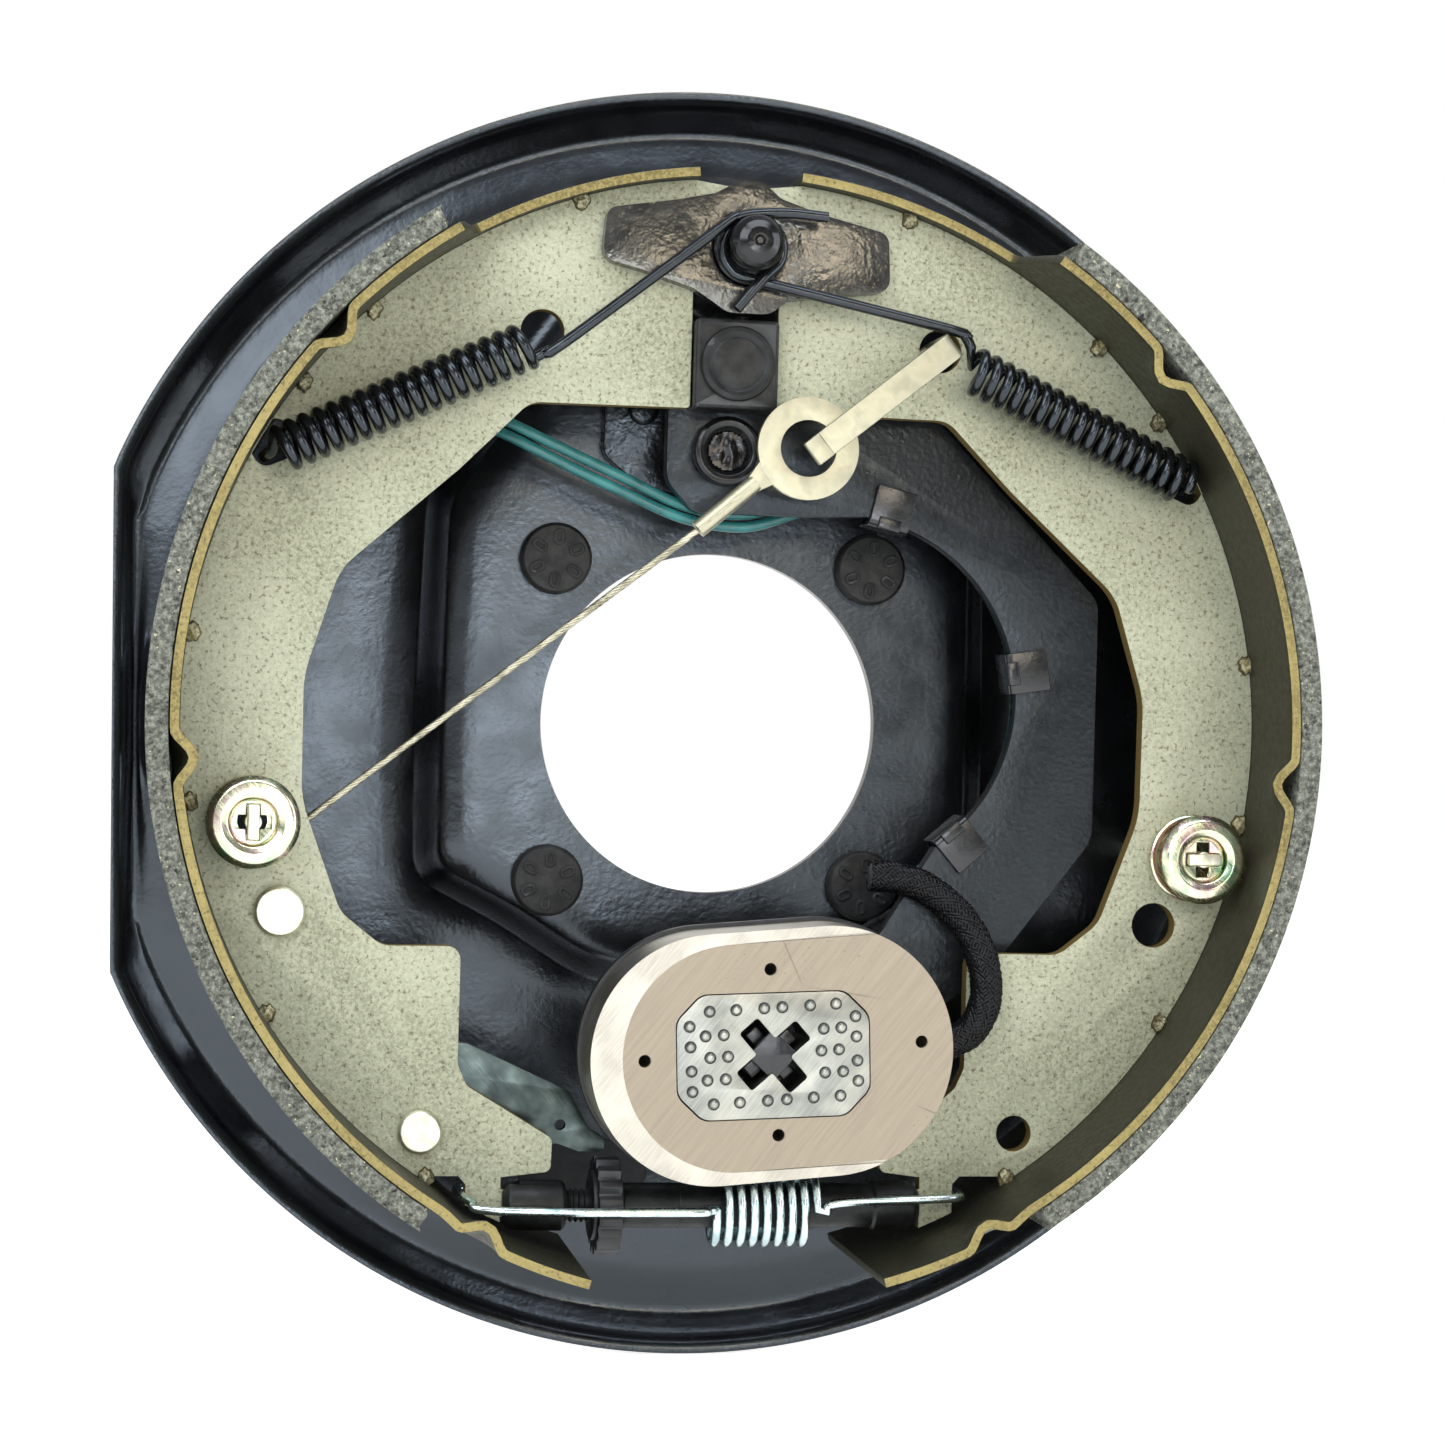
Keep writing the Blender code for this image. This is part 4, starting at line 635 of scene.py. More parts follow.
EYE_ZINC = bright_zinc("bright_zinc_white", ("#b7b49c", "#adab95", "#c1bda4"), 0.42, 0.50, 0.02)
PAWL_ZINC = bright_zinc("bright_zinc_blue_grey", ("#38403f", "#5a6461", "#48524f"), 0.26, 0.34,
    0.015)
CUP_ZINC = bright_zinc("iridescent_zinc", ("#a5c4a2", "#d9b9bd", "#e6e2c0"), 0.16, 0.30, 0.02)
PINK_ZINC = bright_zinc("rose_chromate_zinc", ("#a8665c", "#c98f7a", "#d2a090"), 0.24, 0.40, 0.02)
SPRING_ZINC = bright_zinc("blue_passivated_zinc", ("#b4cdd0", "#c2d6d8", "#dbe8e8"), 0.16, 0.30,
    0.02)
RIVET_ZINC = bright_zinc("rivet_zinc", ("#dcdcc4", "#cfcdb2", "#f0eed8"), 0.30, 0.48, 0.04)
ROPE_STEEL = bright_zinc("galvanised_rope_steel", ("#8f8b76", "#cfcbb6", "#b7b39b"), 0.30, 0.46,
    0.02)
COPPER = bright_zinc("tinned_copper_strand", ("#c9bca8", "#b9a58c", "#ddd3c2"), 0.25, 0.40, 0.02)

# %% [markdown]
# The magnet's face is ground flat: steel round a filled window, with straight grinding
# lines across both. The filling is a hard cream resin that smears and cracks a little.

# %% Ground steel and resin
GRINDING_ANGLE = -38


def ground_steel(name, first, second, low, high):
    """Steel with straight grinding lines under broad pale clouds."""
    m = begin(name, Metallic=1)
    scratch = lines(m, 0.25, GRINDING_ANGLE, 2, 0.04)
    steel = add(m, "ValToRGB", Fac=scratch, stops=[(0.30, first), (0.70, second)])
    clouds = add(m, "ValToRGB", Fac=add(m, "TexNoise", spot=9), stops=[(0.4, 0), (0.7, 0.30)])
    shade = add(m, "MixRGB", Fac=clouds, Color1=steel, Color2="#f4efdd")
    return end(m, shade, scratch, low, high, scratch, 0.03)


def cream_resin(m):
    """The cast filling of the magnet's face, smeared by the grinding wheel."""
    smear = lines(m, 0.7, GRINDING_ANGLE, 3, 0.05)
    cream = add(m, "ValToRGB", Fac=smear, stops=[(0.30, "#9d8f7b"), (0.75, "#aa9d88"),
        (0.55, "#a59883")])
    net = add(m, "TexVoronoi", "Distance", feature="DISTANCE_TO_EDGE", spot=26)
    cracks = add(m, "ValToRGB", Fac=net, stops=[(0.003, 0.45), (0.008, 0)])
    some = add(m, "ValToRGB", Fac=add(m, "TexNoise", spot=30), stops=[(0.52, 0), (0.60, 1)])
    stain = add(m, "MixRGB", blend_type="MULTIPLY", Fac=1, Color1=cracks, Color2=some)
    cracked = add(m, "MixRGB", Fac=stain, Color1=cream, Color2="#4a4037")
    crumbs = add(m, "ValToRGB", Fac=add(m, "TexNoise", spot=1), stops=[(0.66, 0), (0.74, 0.8)])
    dirty = add(m, "MixRGB", blend_type="MULTIPLY", Fac=1, Color1=crumbs, Color2=some)
    shade = add(m, "MixRGB", Fac=dirty, Color1=cracked, Color2="#5d4c3c")
    return end(m, shade, smear, 0.44, 0.54, smear, 0.01)


SHELL_STEEL = ground_steel("ground_steel_shell", "#a39e92", "#bfbaae", 0.30, 0.40)
CORE_STEEL = ground_steel("ground_steel_core", "#868881", "#9fa19a", 0.28, 0.38)
RESIN = cream_resin(begin("ground_cream_resin"))
print("magnet finishes:", SHELL_STEEL.name, CORE_STEEL.name, RESIN.name)

# %% [markdown]
# What is left is soft or moulded: nylon for the magnet's body and the clips, rubber for
# the grommet and the slot plug, PVC for the two leads and polyester yarn for the sleeve.

# %% Plastics, rubber and yarn


def polymer(name, shades, gloss, grain, depth, ior=1.5):
    """A moulded or extruded polymer with clouds, a fine grain and uneven gloss."""
    m = begin(name, IOR=ior)
    clouds = add(m, "TexNoise", spot=6, Detail=3)
    shade = add(m, "ValToRGB", Fac=clouds, stops=list(zip((0.3, 0.7), shades)))
    haze = add(m, "TexNoise", spot=3, Detail=3)
    skin = add(m, "TexNoise", spot=grain, Detail=2)
    return end(m, shade, haze, *gloss, skin, depth)


NYLON = polymer("glass_filled_nylon_black", ("#0e0f0f", "#1a1b1b"), (0.36, 0.55), 0.6, 0.05, 1.53)
CLIP_NYLON = polymer("clip_nylon_black", ("#0e0f10", "#1b1d1e"), (0.18, 0.30), 0.8, 0.03, 1.6)
RUBBER = polymer("moulded_rubber_black", ("#101010", "#1d1d1d"), (0.62, 0.82), 0.5, 0.05, 1.52)
LEAD_PVC = polymer("lead_pvc_green", ("#24605f", "#3a8a88"), (0.26, 0.40), 1.4, 0.03, 1.54)
YARN = polymer("braided_polyester_yarn", ("#050506", "#0d0d0f"), (0.24, 0.36), 0.35, 0.02, 1.33)
print("materials so far:", len(bpy.data.materials))

# %% [markdown]
# The studio is plain: white behind the object, a softer grey in front of it, a pale
# floor that takes the shadow, four large soft lamps round it and two small ones in front.
# Camera rays see the world as white. Mirror rays see the white behind the object as well,
# and the dimmer room in front of it, so that black paint stays black where it looks at
# the camera.

# %% World
scene.view_settings.view_transform = "Standard"
world = bpy.data.worlds.new("studio")
scene.world = world
world.use_nodes = True
sky = world.node_tree.nodes["Background"]


class WorldGraph:
    """Lets the node function work on the world as it does on a material."""

    node_tree = world.node_tree


direction = add(WorldGraph, "TexCoord", "Generated")
behind = add(WorldGraph, "MapRange", Value=add(WorldGraph, "SeparateXYZ", "Y", Vector=direction),
    From_Min=0.1, From_Max=0.6)
room = add(WorldGraph, "MixRGB", Fac=behind, Color1="#85878a", Color2="#ffffff")
rays = add(WorldGraph, "LightPath", "Is Camera Ray")
lit = add(WorldGraph, "MixRGB", Fac=rays.node.outputs["Is Glossy Ray"], Color1="#a2a3a3",
    Color2=room)
seen = add(WorldGraph, "MixRGB", Fac=rays, Color1=lit, Color2="#ffffff")
through = add(WorldGraph, "MixRGB", Fac=rays.node.outputs["Is Transmission Ray"], Color1=seen,
    Color2="#ffffff")
world.node_tree.links.new(through, sky.inputs["Color"])

# %% [markdown]
# The floor is just under the plate's rim. Part of its light is its own, for camera and
# mirror rays only, so that it runs into the white world and still shows a soft shadow.

# %% Floor
FLOOR_HEIGHT = -146
FLOOR_HALF = 4000
floor_mesh = bpy.data.meshes.new("floor")
floor_mesh.from_pydata([(x * FLOOR_HALF * MM, y * FLOOR_HALF * MM, FLOOR_HEIGHT * MM)
    for x, y in ((-1, -1), (1, -1), (1, 1), (-1, 1))], [], [(0, 1, 2, 3)])
floor = bpy.data.objects.new("floor", floor_mesh)
scene.collection.objects.link(floor)
paper = begin("pale_studio_paper", Base_Color=colour("#f2f2f0"), Roughness=0.9)
path = add(paper, "LightPath", "Is Camera Ray")
glow = add(paper, "Math", operation="MAXIMUM")
for i, ray in enumerate(("Is Camera Ray", "Is Glossy Ray")):
    paper.node_tree.links.new(path.node.outputs[ray], glow.node.inputs[i])
strength = add(paper, "MapRange", Value=glow, To_Max=0.80)
grain = add(paper, "TexNoise", spot=40)
shade = add(paper, "ValToRGB", Fac=grain, stops=[(0.3, "#efefed"), (0.7, "#f4f4f2")])
paper_shader = paper.node_tree.nodes["Principled BSDF"]
paper_shader.inputs["Emission Color"].default_value = (1, 1, 1, 1)
paper.node_tree.links.new(strength, paper_shader.inputs["Emission Strength"])
paper.node_tree.links.new(shade, paper_shader.inputs["Base Color"])
floor_mesh.materials.append(paper)

# %% Lamps


def soft_lamp(name, place, target, width, height, watts, tint):
    """A rectangular soft lamp that looks from its place to a target, in metres."""
    lamp = bpy.data.lights.new(name, "AREA")
    lamp.shape = "RECTANGLE"
    lamp.size, lamp.size_y = width, height
    lamp.energy = watts
    lamp.color = colour(tint)[:3]
    obj = bpy.data.objects.new(name, lamp)
    obj.location = place
    obj.rotation_mode = "QUATERNION"
    obj.rotation_quaternion = (Vector(target) - Vector(place)).to_track_quat("-Z", "Y")
    obj.visible_camera = False
    scene.collection.objects.link(obj)
    return obj


soft_lamp("lamp_upper_left", (-0.65, -0.85, 0.58), (0, 0, 0), 0.7, 0.7, 7.4, "#f4f8ff")
soft_lamp("lamp_top", (0.05, -0.46, 0.92), (0, -0.03, 0), 0.9, 0.42, 5.6, "#eef4ff")
soft_lamp("lamp_right", (0.95, -0.55, 0.25), (0, 0, 0), 0.5, 0.8, 4, "#f2f6ff")
soft_lamp("lamp_front", (0, -0.95, 0.01), (0, 0, 0), 0.28, 0.15, 1, "#f4f8ff")
soft_lamp("lamp_front_warm", (0.18, -0.95, 0.26), (0, 0, 0), 0.30, 0.16, 1.1, "#fff1dc")
soft_lamp("lamp_left_strip", (-0.95, -0.15, 0.1), (0, -0.03, 0), 0.9, 0.3, 1.1, "#eef4ff")
print("lamps:", [lamp.name for lamp in bpy.data.lights])

# %% [markdown]
# The two leads that feed the magnet come out behind the plate. They are free cords, so
# they are made first: thin PVC cables that leave the grommet backwards, bend down over
# their own weight and end in a few millimetres of bare strands.

# %% Lead tails behind the plate
TAIL_START, BARE_LENGTH = FLOOR_FRONT + 6.3, 5
for number, offset in ((1, 1), (2, -1)):
    x, z = LEAD_HOLE[0] + 1.4 * offset, LEAD_HOLE[1] - 1.4 * offset
    knots = [(x, TAIL_START, z), (x, TAIL_START + 5, z - 0.2),
        (x - 0.4, TAIL_START + 9.6, z - 3.6), (x - 0.8, TAIL_START + 11, z - 10),
        (x - 1.4, TAIL_START + 10, z - 30), (x - 1.6 + offset, TAIL_START + 8.6, z - 60),
        (x - 0.6 + 2 * offset, TAIL_START + 7.8, z - 95), (x + 3 * offset, TAIL_START + 7.4,
        z - 134 - 2 * offset)]
    route = smooth_path(knots, 2.5)
    tail = dress(wire(f"tail_cord_{number}", route, LEAD_DIAMETER, LEAD_PVC, 16), "plate",
        "lead_green", f"lead_tail_{number}")
    last, before = Vector(route[-1]), Vector(route[-3])
    tip = wire(f"tail_strands_{number}", [tuple(last - (last - before) * 0.2),
        tuple(last + (last - before).normalized() * BARE_LENGTH)], 1.3, COPPER, 12)
    dress(tip, "plate", "bright_zinc")
    length = sum((Vector(b) - Vector(a)).length for a, b in zip(route, route[1:])) * MM
    print("tail", number, "is", round(length, 4), "m long")

# %% [markdown]
# The backing plate is one pressing from 3 mm sheet. It is made as a fan of spokes: each
# spoke carries the same section from the bore to the lip, and the raised boss and the
# six pads on which the shoes slide change that section with the angle. Each spoke is
# smoothed a little, because a pressed corner is never sharp. Then the skin is thickened.

# %% Backing plate section
BOSS_HALF = [(0, 117), (16, 114.5), (25, 98), (60, 48), (60.5, -33.5), (42, -42.5), (26, -52.5),
    (0, -58.5)]
BOSS_OUTLINE = BOSS_HALF + [(-x, z) for x, z in reversed(BOSS_HALF[1:-1])]
PAD_ANGLES, PAD_HALF_ANGLE = (30, 0, -40, 140, 180, 220), 6


def boss_reach(degrees):
    """How far the raised boss reaches from the axis in a direction."""
    ray = Vector(polar(1, degrees))
    for (ax, az), (bx, bz) in zip(BOSS_OUTLINE, BOSS_OUTLINE[1:] + BOSS_OUTLINE[:1]):
        edge = Vector((bx - ax, bz - az))
        across = ray.x * edge.y - ray.y * edge.x
        if abs(across) < 1e-9:
            continue
        along_ray = (ax * edge.y - az * edge.x) / across
        along_edge = (ax * ray.y - az * ray.x) / across
        if along_ray > 0 and -1e-6 <= along_edge <= 1 + 1e-6:
            return along_ray
    return 0


def smooth_step(value):
    """Ease a value from 0 to 1."""
    value = min(1, max(0, value))
    return value * value * (3 - 2 * value)


def plate_knots(degrees):
    """The section's corners in one direction, as (radius, depth)."""
    boss = sum(boss_reach(degrees + turn) for turn in (-3, -1.5, 0, 1.5, 3)) / 5
    off_pad = min(abs((degrees - pad + 180) % 360 - 180) for pad in PAD_ANGLES)
    pad = FLOOR_FRONT + (PAD_FRONT - FLOOR_FRONT) * smooth_step(
        (PAD_HALF_ANGLE + 1.5 - off_pad) / 3)
    section = [(PLATE_BORE, BOSS_FRONT), (boss, BOSS_FRONT), (boss + 7, FLOOR_FRONT),
        (113, FLOOR_FRONT), (116, pad), (124, pad), (127.5, FLOOR_FRONT), (137, FLOOR_FRONT + 2.6),
        (142.5, FLOOR_FRONT - 1.5), (143.3, LIP_FRONT), (PLATE_RADIUS, LIP_FRONT)]
    limits = (0, 0, 0, 0, 0, 125.3, 127.5, 129.7, 131.1, 132, PLATE_FLAT + FLAT_OUT)
    reach = -math.cos(math.radians(degrees - FLAT_TURN))
    radii = []
    for (radius, _), limit in zip(section, limits):
        if limit and reach > 0:
            radius = min(radius, limit / reach)
        radii.append(max(radius, radii[-1] + 0.5) if radii else radius)
    return [(radius, depth) for radius, (_, depth) in zip(radii, section)]


def depth_at(knots, radius):
    """The depth of the section at a radius, straight between its corners."""
    for (r0, d0), (r1, d1) in zip(knots, knots[1:]):
        if radius <= r1:
            return d0 + (d1 - d0) * max(0, radius - r0) / (r1 - r0)
    return knots[-1][1]


# %% Backing plate skin
PLATE_SPOKES = 300
SPANS = (5, 8, 6, 4, 4, 5, 7, 5, 2, 2)


def spoke_points(degrees):
    """Smoothed (radius, depth) points along one spoke."""
    knots = plate_knots(degrees)
    points = []
    for span, ((r0, _), (r1, _), count) in enumerate(zip(knots, knots[1:], SPANS)):
        for k in range(count):
            radius = r0 + (r1 - r0) * k / count
            near_rim = span > 6 or (span == 6 and 2 * k >= count)
            width = min(0.9, 0.25 + abs(r1 - r0) / 4) if near_rim else 2.4
            near = [depth_at(knots, radius + width * step / 3) for step in range(-3, 4)]
            points.append((radius, sum(near) / len(near)))
    return points + [knots[-1]]


def plate_skin():
    """The pressed sheet: spokes skinned all round, then 3 mm thick."""
    work = bmesh.new()
    rings = []
    for i in range(PLATE_SPOKES):
        degrees = 360 * i / PLATE_SPOKES
        spots = [(polar(radius, degrees), depth) for radius, depth in spoke_points(degrees)]
        rings.append([work.verts.new((x * MM, depth * MM, z * MM)) for (x, z), depth in spots])
    for ring, following in zip(rings, rings[1:] + rings[:1]):
        for k in range(len(ring) - 1):
            work.faces.new((ring[k], ring[k + 1], following[k + 1], following[k]))
    bmesh.ops.recalc_face_normals(work, faces=work.faces)
    if sum(face.normal.y for face in work.faces) > 0:
        bmesh.ops.reverse_faces(work, faces=work.faces)
    bmesh.ops.solidify(work, geom=work.faces, thickness=PLATE_THICK * MM)
    return from_work("pressed_plate", work, ELECTROCOAT, 40)


plate_piece = dress(plate_skin(), "plate", "black_coat", "backing_plate")
plate_depths = [v.co.y * 1000 for v in plate_piece.data.vertices]
print("plate faces:", len(plate_piece.data.polygons), "from", round(min(plate_depths), 1), "to",
    round(max(plate_depths), 1), "mm deep")

# %% [markdown]
# Each shoe has three parts. The web is a 4 mm stamping with rounded cut edges, the table
# is a bent strip with pressed dents along its front edge, and the lining is bonded to
# it. The web's outline is drawn as corners with radii, as a toolmaker would draw it.

# %% Shoe webs
SEAT_STARTS, TAB_TOP = {"left": -29, "right": -36}, -99.2


def web_outline(name):
    """The outline of a shoe's web, from its foot round the inside to the anchor post."""
    side = WEB_SIDES[name]
    gate, step, toe, toe_top = side["gate"], side["step"], side["toe"], side["toe_top"]
    leg_in, leg_out = side["leg"]
    foot_in = math.sqrt(WEB_RADIUS ** 2 - leg_in ** 2)
    foot_out = math.sqrt(WEB_RADIUS ** 2 - leg_out ** 2)
    notch_angle = -math.degrees(math.asin(-TAB_TOP / WEB_RADIUS))
    foot = arc((0, 0), WEB_RADIUS, math.degrees(math.atan2(-foot_out, leg_out)),
        math.degrees(math.atan2(-foot_in, leg_in)), 6)
    tongue = rounded([(leg_in, -108, 0), (leg_in - 3.5, -107.4, 0.8), (leg_in - 3.5, -103, 0.8),
        (leg_in, -102, 0)], closed=False)
    inner = rounded([(leg_in, -99.4, 0), (toe + 0.2, -98.2, 1.6), (toe, toe_top, 2),
        (step - 2, -79.6, 3), (step, -75, 3), (step, -49.5, 3), (75.5, -49.6, 6), (84.5, -42.5, 8),
        (93.4, -18.5, 24), (93.6, 8, 24), (86.5, 31, 14), (61.5, 53.5, 4), (46.6, 68.6, 6),
        (gate, 68.9, 0.8), (gate, 99 if name == "left" else 98, 0)], closed=False)
    seat = arc(POST, POST_RADIUS + GAP, SEAT_STARTS[name], 75, 24)
    top = [(2.6, 117.6), (12, math.sqrt(WEB_RADIUS ** 2 - 144))]
    rim = arc((0, 0), WEB_RADIUS, 83, notch_angle, 120)
    outline = inner + seat + top + rim + [(leg_out + 1.6, TAB_TOP),
        (leg_out, -101)] + foot + tongue
    return mirrored(outline, SIDES[name])


for name, sign in SIDES.items():
    holes = [circle((sign * x, z), radius, 48)
        for x, z, radius in (LINK_HOLE, UPPER_HOLE, LOWER_HOLE)]
    holes.append(circle(HOLD_DOWNS[name], 4.6, 48))
    slot_side = mirrored(rounded([(SPRING_HOLE[0] - 4.6, SPRING_HOLE[1] + 5.6, 3),
        (SPRING_HOLE[0] - 7.4, SPRING_HOLE[1] - 2, 3), (SPRING_HOLE[0] + 0.4, SPRING_HOLE[1] - 5.4,
        3), (SPRING_HOLE[0] + 3, SPRING_HOLE[1] - 1, 2), (SPRING_HOLE[0] - 0.4,
        SPRING_HOLE[1] + 5.4, 2)]), sign)
    web = flat_piece(f"{name}_web", [web_outline(name), *holes, slot_side], WEB_FRONT, WEB_BACK,
        WEB_ZINC, 0.45)
    dress(web, f"{name}_shoe", "yellow_zinc", f"{name}_shoe_web")
    print(web.name, "has", len(web.data.polygons), "faces")

# %% [markdown]
# A table is a grid: columns go along the arc and rows across the width. Its upper tip is
# narrower, its foot flares, and three dents are pressed into its front edge. Small weld
# beads join it to the web; each is a squashed ball with an uneven skin.

# %% Shoe tables
COLUMN_STEP, DENT_HALF_ANGLE = 0.6, 2.7


def table_skin(name, sign):
    """The strip's inner and outer skins, 2 mm apart."""
    column_count = int((TABLE_TIP_TOP_ANGLE - TABLE_TIP_BOTTOM_ANGLE) / COLUMN_STEP) + 1
    angles = [TABLE_TIP_BOTTOM_ANGLE + COLUMN_STEP * i for i in range(column_count)]
    rows = (0, 0.03, 0.06, 0.1, 0.14, 0.18, 0.24, 0.4, 0.7, 1)
    work = bmesh.new()
    grid = []
    for angle in angles:
        inset = TABLE_TIP_INSET * smooth_step((angle - LINING_TOP_ANGLE - 0.5) / 3)
        flare = TABLE_FLARE * smooth_step((LINING_BOTTOM_ANGLE - angle) / 5)
        dent = max(max(0, 1 - abs(angle - centre) / DENT_HALF_ANGLE) for centre in DENT_ANGLES)
        column = []
        for row in rows:
            depth = LINING_FRONT + inset + (LINING_BACK - LINING_FRONT - 2 * inset) * row
            fade = smooth_step(1 - row / 0.22)
            radius = TABLE_RADIUS + flare - DENT_DEPTH * smooth_step(dent) * fade
            x, z = polar(radius, angle)
            column.append(work.verts.new((sign * x * MM, depth * MM, z * MM)))
        grid.append(column)
    for column, following in zip(grid, grid[1:]):
        for k in range(len(rows) - 1):
            work.faces.new((column[k], column[k + 1], following[k + 1], following[k]))
    bmesh.ops.recalc_face_normals(work, faces=work.faces)
    middle = work.faces[:][len(work.faces) // 2]
    if middle.normal.dot(middle.calc_center_median() * Vector((1, 0, 1))) < 0:
        bmesh.ops.reverse_faces(work, faces=work.faces)
    bmesh.ops.solidify(work, geom=work.faces, thickness=TABLE_THICK * MM)
    sharp_edges = [e for e in work.edges if len(e.link_faces) == 2 and e.calc_face_angle() > 1.2]
    bmesh.ops.bevel(work, geom=sharp_edges, offset=0.4 * MM, segments=2, profile=0.5,
        affect="EDGES", clamp_overlap=True)
    return from_work(name, work, TABLE_ZINC)


def weld_bead(name, place, size):
    """An uneven bead of weld metal, as a ball whose points move a little in and out."""
    work = bmesh.new()
    bmesh.ops.create_icosphere(work, subdivisions=3, radius=1)
    for point in work.verts:
        wave = math.sin(7 * point.co.x + 2 * place[0]) * math.cos(5 * point.co.z + place[2])
        point.co = (Vector(place) + Vector(size) * (1 + 0.16 * wave) * point.co) * MM
    return from_work(name, work, WELD_STEEL)


BEAD_ANGLES = (72, 47, 36.5, 8, -9.5, -33, -57)
for name, sign in SIDES.items():
    pieces = [table_skin(f"{name}_table_skin", sign)]
    for i, angle in enumerate(BEAD_ANGLES):
        x, z = polar(TABLE_RADIUS - TABLE_THICK - 0.9, angle)
        pieces.append(weld_bead(f"{name}_bead_{i}", (sign * x, WEB_FRONT - 0.1, z),
            (1.9, 1.5, 2.2)))
    dress(join(f"{name}_table", pieces), f"{name}_shoe", "yellow_zinc", f"{name}_shoe_table")

# %% Brake linings


def ragged(radius, angle, count, reach):
    """A broken end of the lining: points across its thickness, pushed in and out."""
    points = []
    for i in range(1, count):
        push = reach * math.sin(3.1 * i) * math.cos(1.7 * i + angle)
        points.append(polar(radius - LINING_THICK * i / count, angle + push))
    return points


for name, sign in SIDES.items():
    outer = arc((0, 0), LINING_RADIUS, LINING_BOTTOM_ANGLE, LINING_TOP_ANGLE, 150)
    inner = arc((0, 0), LINING_RADIUS - LINING_THICK, LINING_TOP_ANGLE - 0.8,
        LINING_BOTTOM_ANGLE + 0.8, 150)
    upper_end = ragged(LINING_RADIUS, LINING_TOP_ANGLE - 0.4, 6, 0.35)
    lower_end = ragged(LINING_RADIUS, LINING_BOTTOM_ANGLE + 0.4, 6, 0.35)[::-1]
    band = mirrored(outer + upper_end + inner + lower_end, sign)
    lining = flat_piece(f"{name}_friction_band", [band], LINING_FRONT, LINING_BACK, FRICTION_BLOCK,
        0.5)
    dress(lining, f"{name}_shoe", "lining_grey", f"{name}_lining")
print("two shoes dressed")

# %% [markdown]
# The long return springs are close coils of 2.4 mm wire with a straight end that runs to
# the anchor post. A spring spans two bodies, the plate and a shoe: its post end is at the
# plate and its hook is in the shoe.

# %% Return springs
COIL_DEPTH = WEB_FRONT - RETURN_COIL_RADIUS - RETURN_WIRE / 2 - 1.5
RETURN_TURNS = 17.5
winding = coil((-48.6, COIL_DEPTH, 79.8), (-99.6, COIL_DEPTH, 55.6), RETURN_COIL_RADIUS,
    RETURN_TURNS, 250)
lead = smooth_path([(15.8, -44.7, 110.4), (8, -44.7, 110.8), (1, -44.7, 110.4),
    (-3.6, -44.7, 109.4), (-8, -44.6, 106.6), (-41, -43.4, 80.4), (-44, -42.4, 78.9),
    (-46.8, -42.2, 77.2)], 1)
hook = smooth_path([winding[-1], (-101.8, -37, 55.2), (-103, -33, 54.6), (-103.2, -28.2, 55),
    (-101, -26.2, 56.5)], 1)[1:]
left_spring = wire("left_spring", lead + winding + hook, RETURN_WIRE, SPRING_ENAMEL, 12)
winding = coil((50, COIL_DEPTH, 79.4), (99.8, COIL_DEPTH, 56.4), RETURN_COIL_RADIUS, RETURN_TURNS,
    200)
loop = [(-3.4, -42.6, 89.8), (2, -42.6, 96.4)]
for degrees in range(-30, 251, 20):
    x, z = polar(6.6, degrees, (POST[0], POST[1] - 0.4))
    loop.append((x, -42 + 1.2 * (degrees + 30) / 280, z))
lead = smooth_path(loop + [(8, -40.6, 95.2), (45, -40.8, 88), (48.4, -40.8, 86.4),
    (49.6, -41, 84.2)], 1)
hook = smooth_path([winding[-1], (101.8, -37, 55.4), (102.4, -33, 55.2), (102.2, -28.2, 55.6),
    (100.4, -26.2, 56.8)], 1)[1:]
right_spring = wire("right_spring", lead + winding + hook, RETURN_WIRE, SPRING_ENAMEL, 12)
for spring, name, start_x, end_x in ((left_spring, "left", -49, -99),
        (right_spring, "right", 50, 99)):
    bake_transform(spring)
    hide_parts(f"{name}_return_spring")
print("return springs:", RETURN_TURNS, "turns each")

# %% [markdown]
# A hold-down presses each shoe to the plate: a flat-headed pin comes through the web, a
# soft spring sits on a lower cup, and the upper cup locks under the pin's head after a
# quarter turn. The cups are turned profiles with rolled edges, and the upper cup's floor
# has a cross-shaped slot.

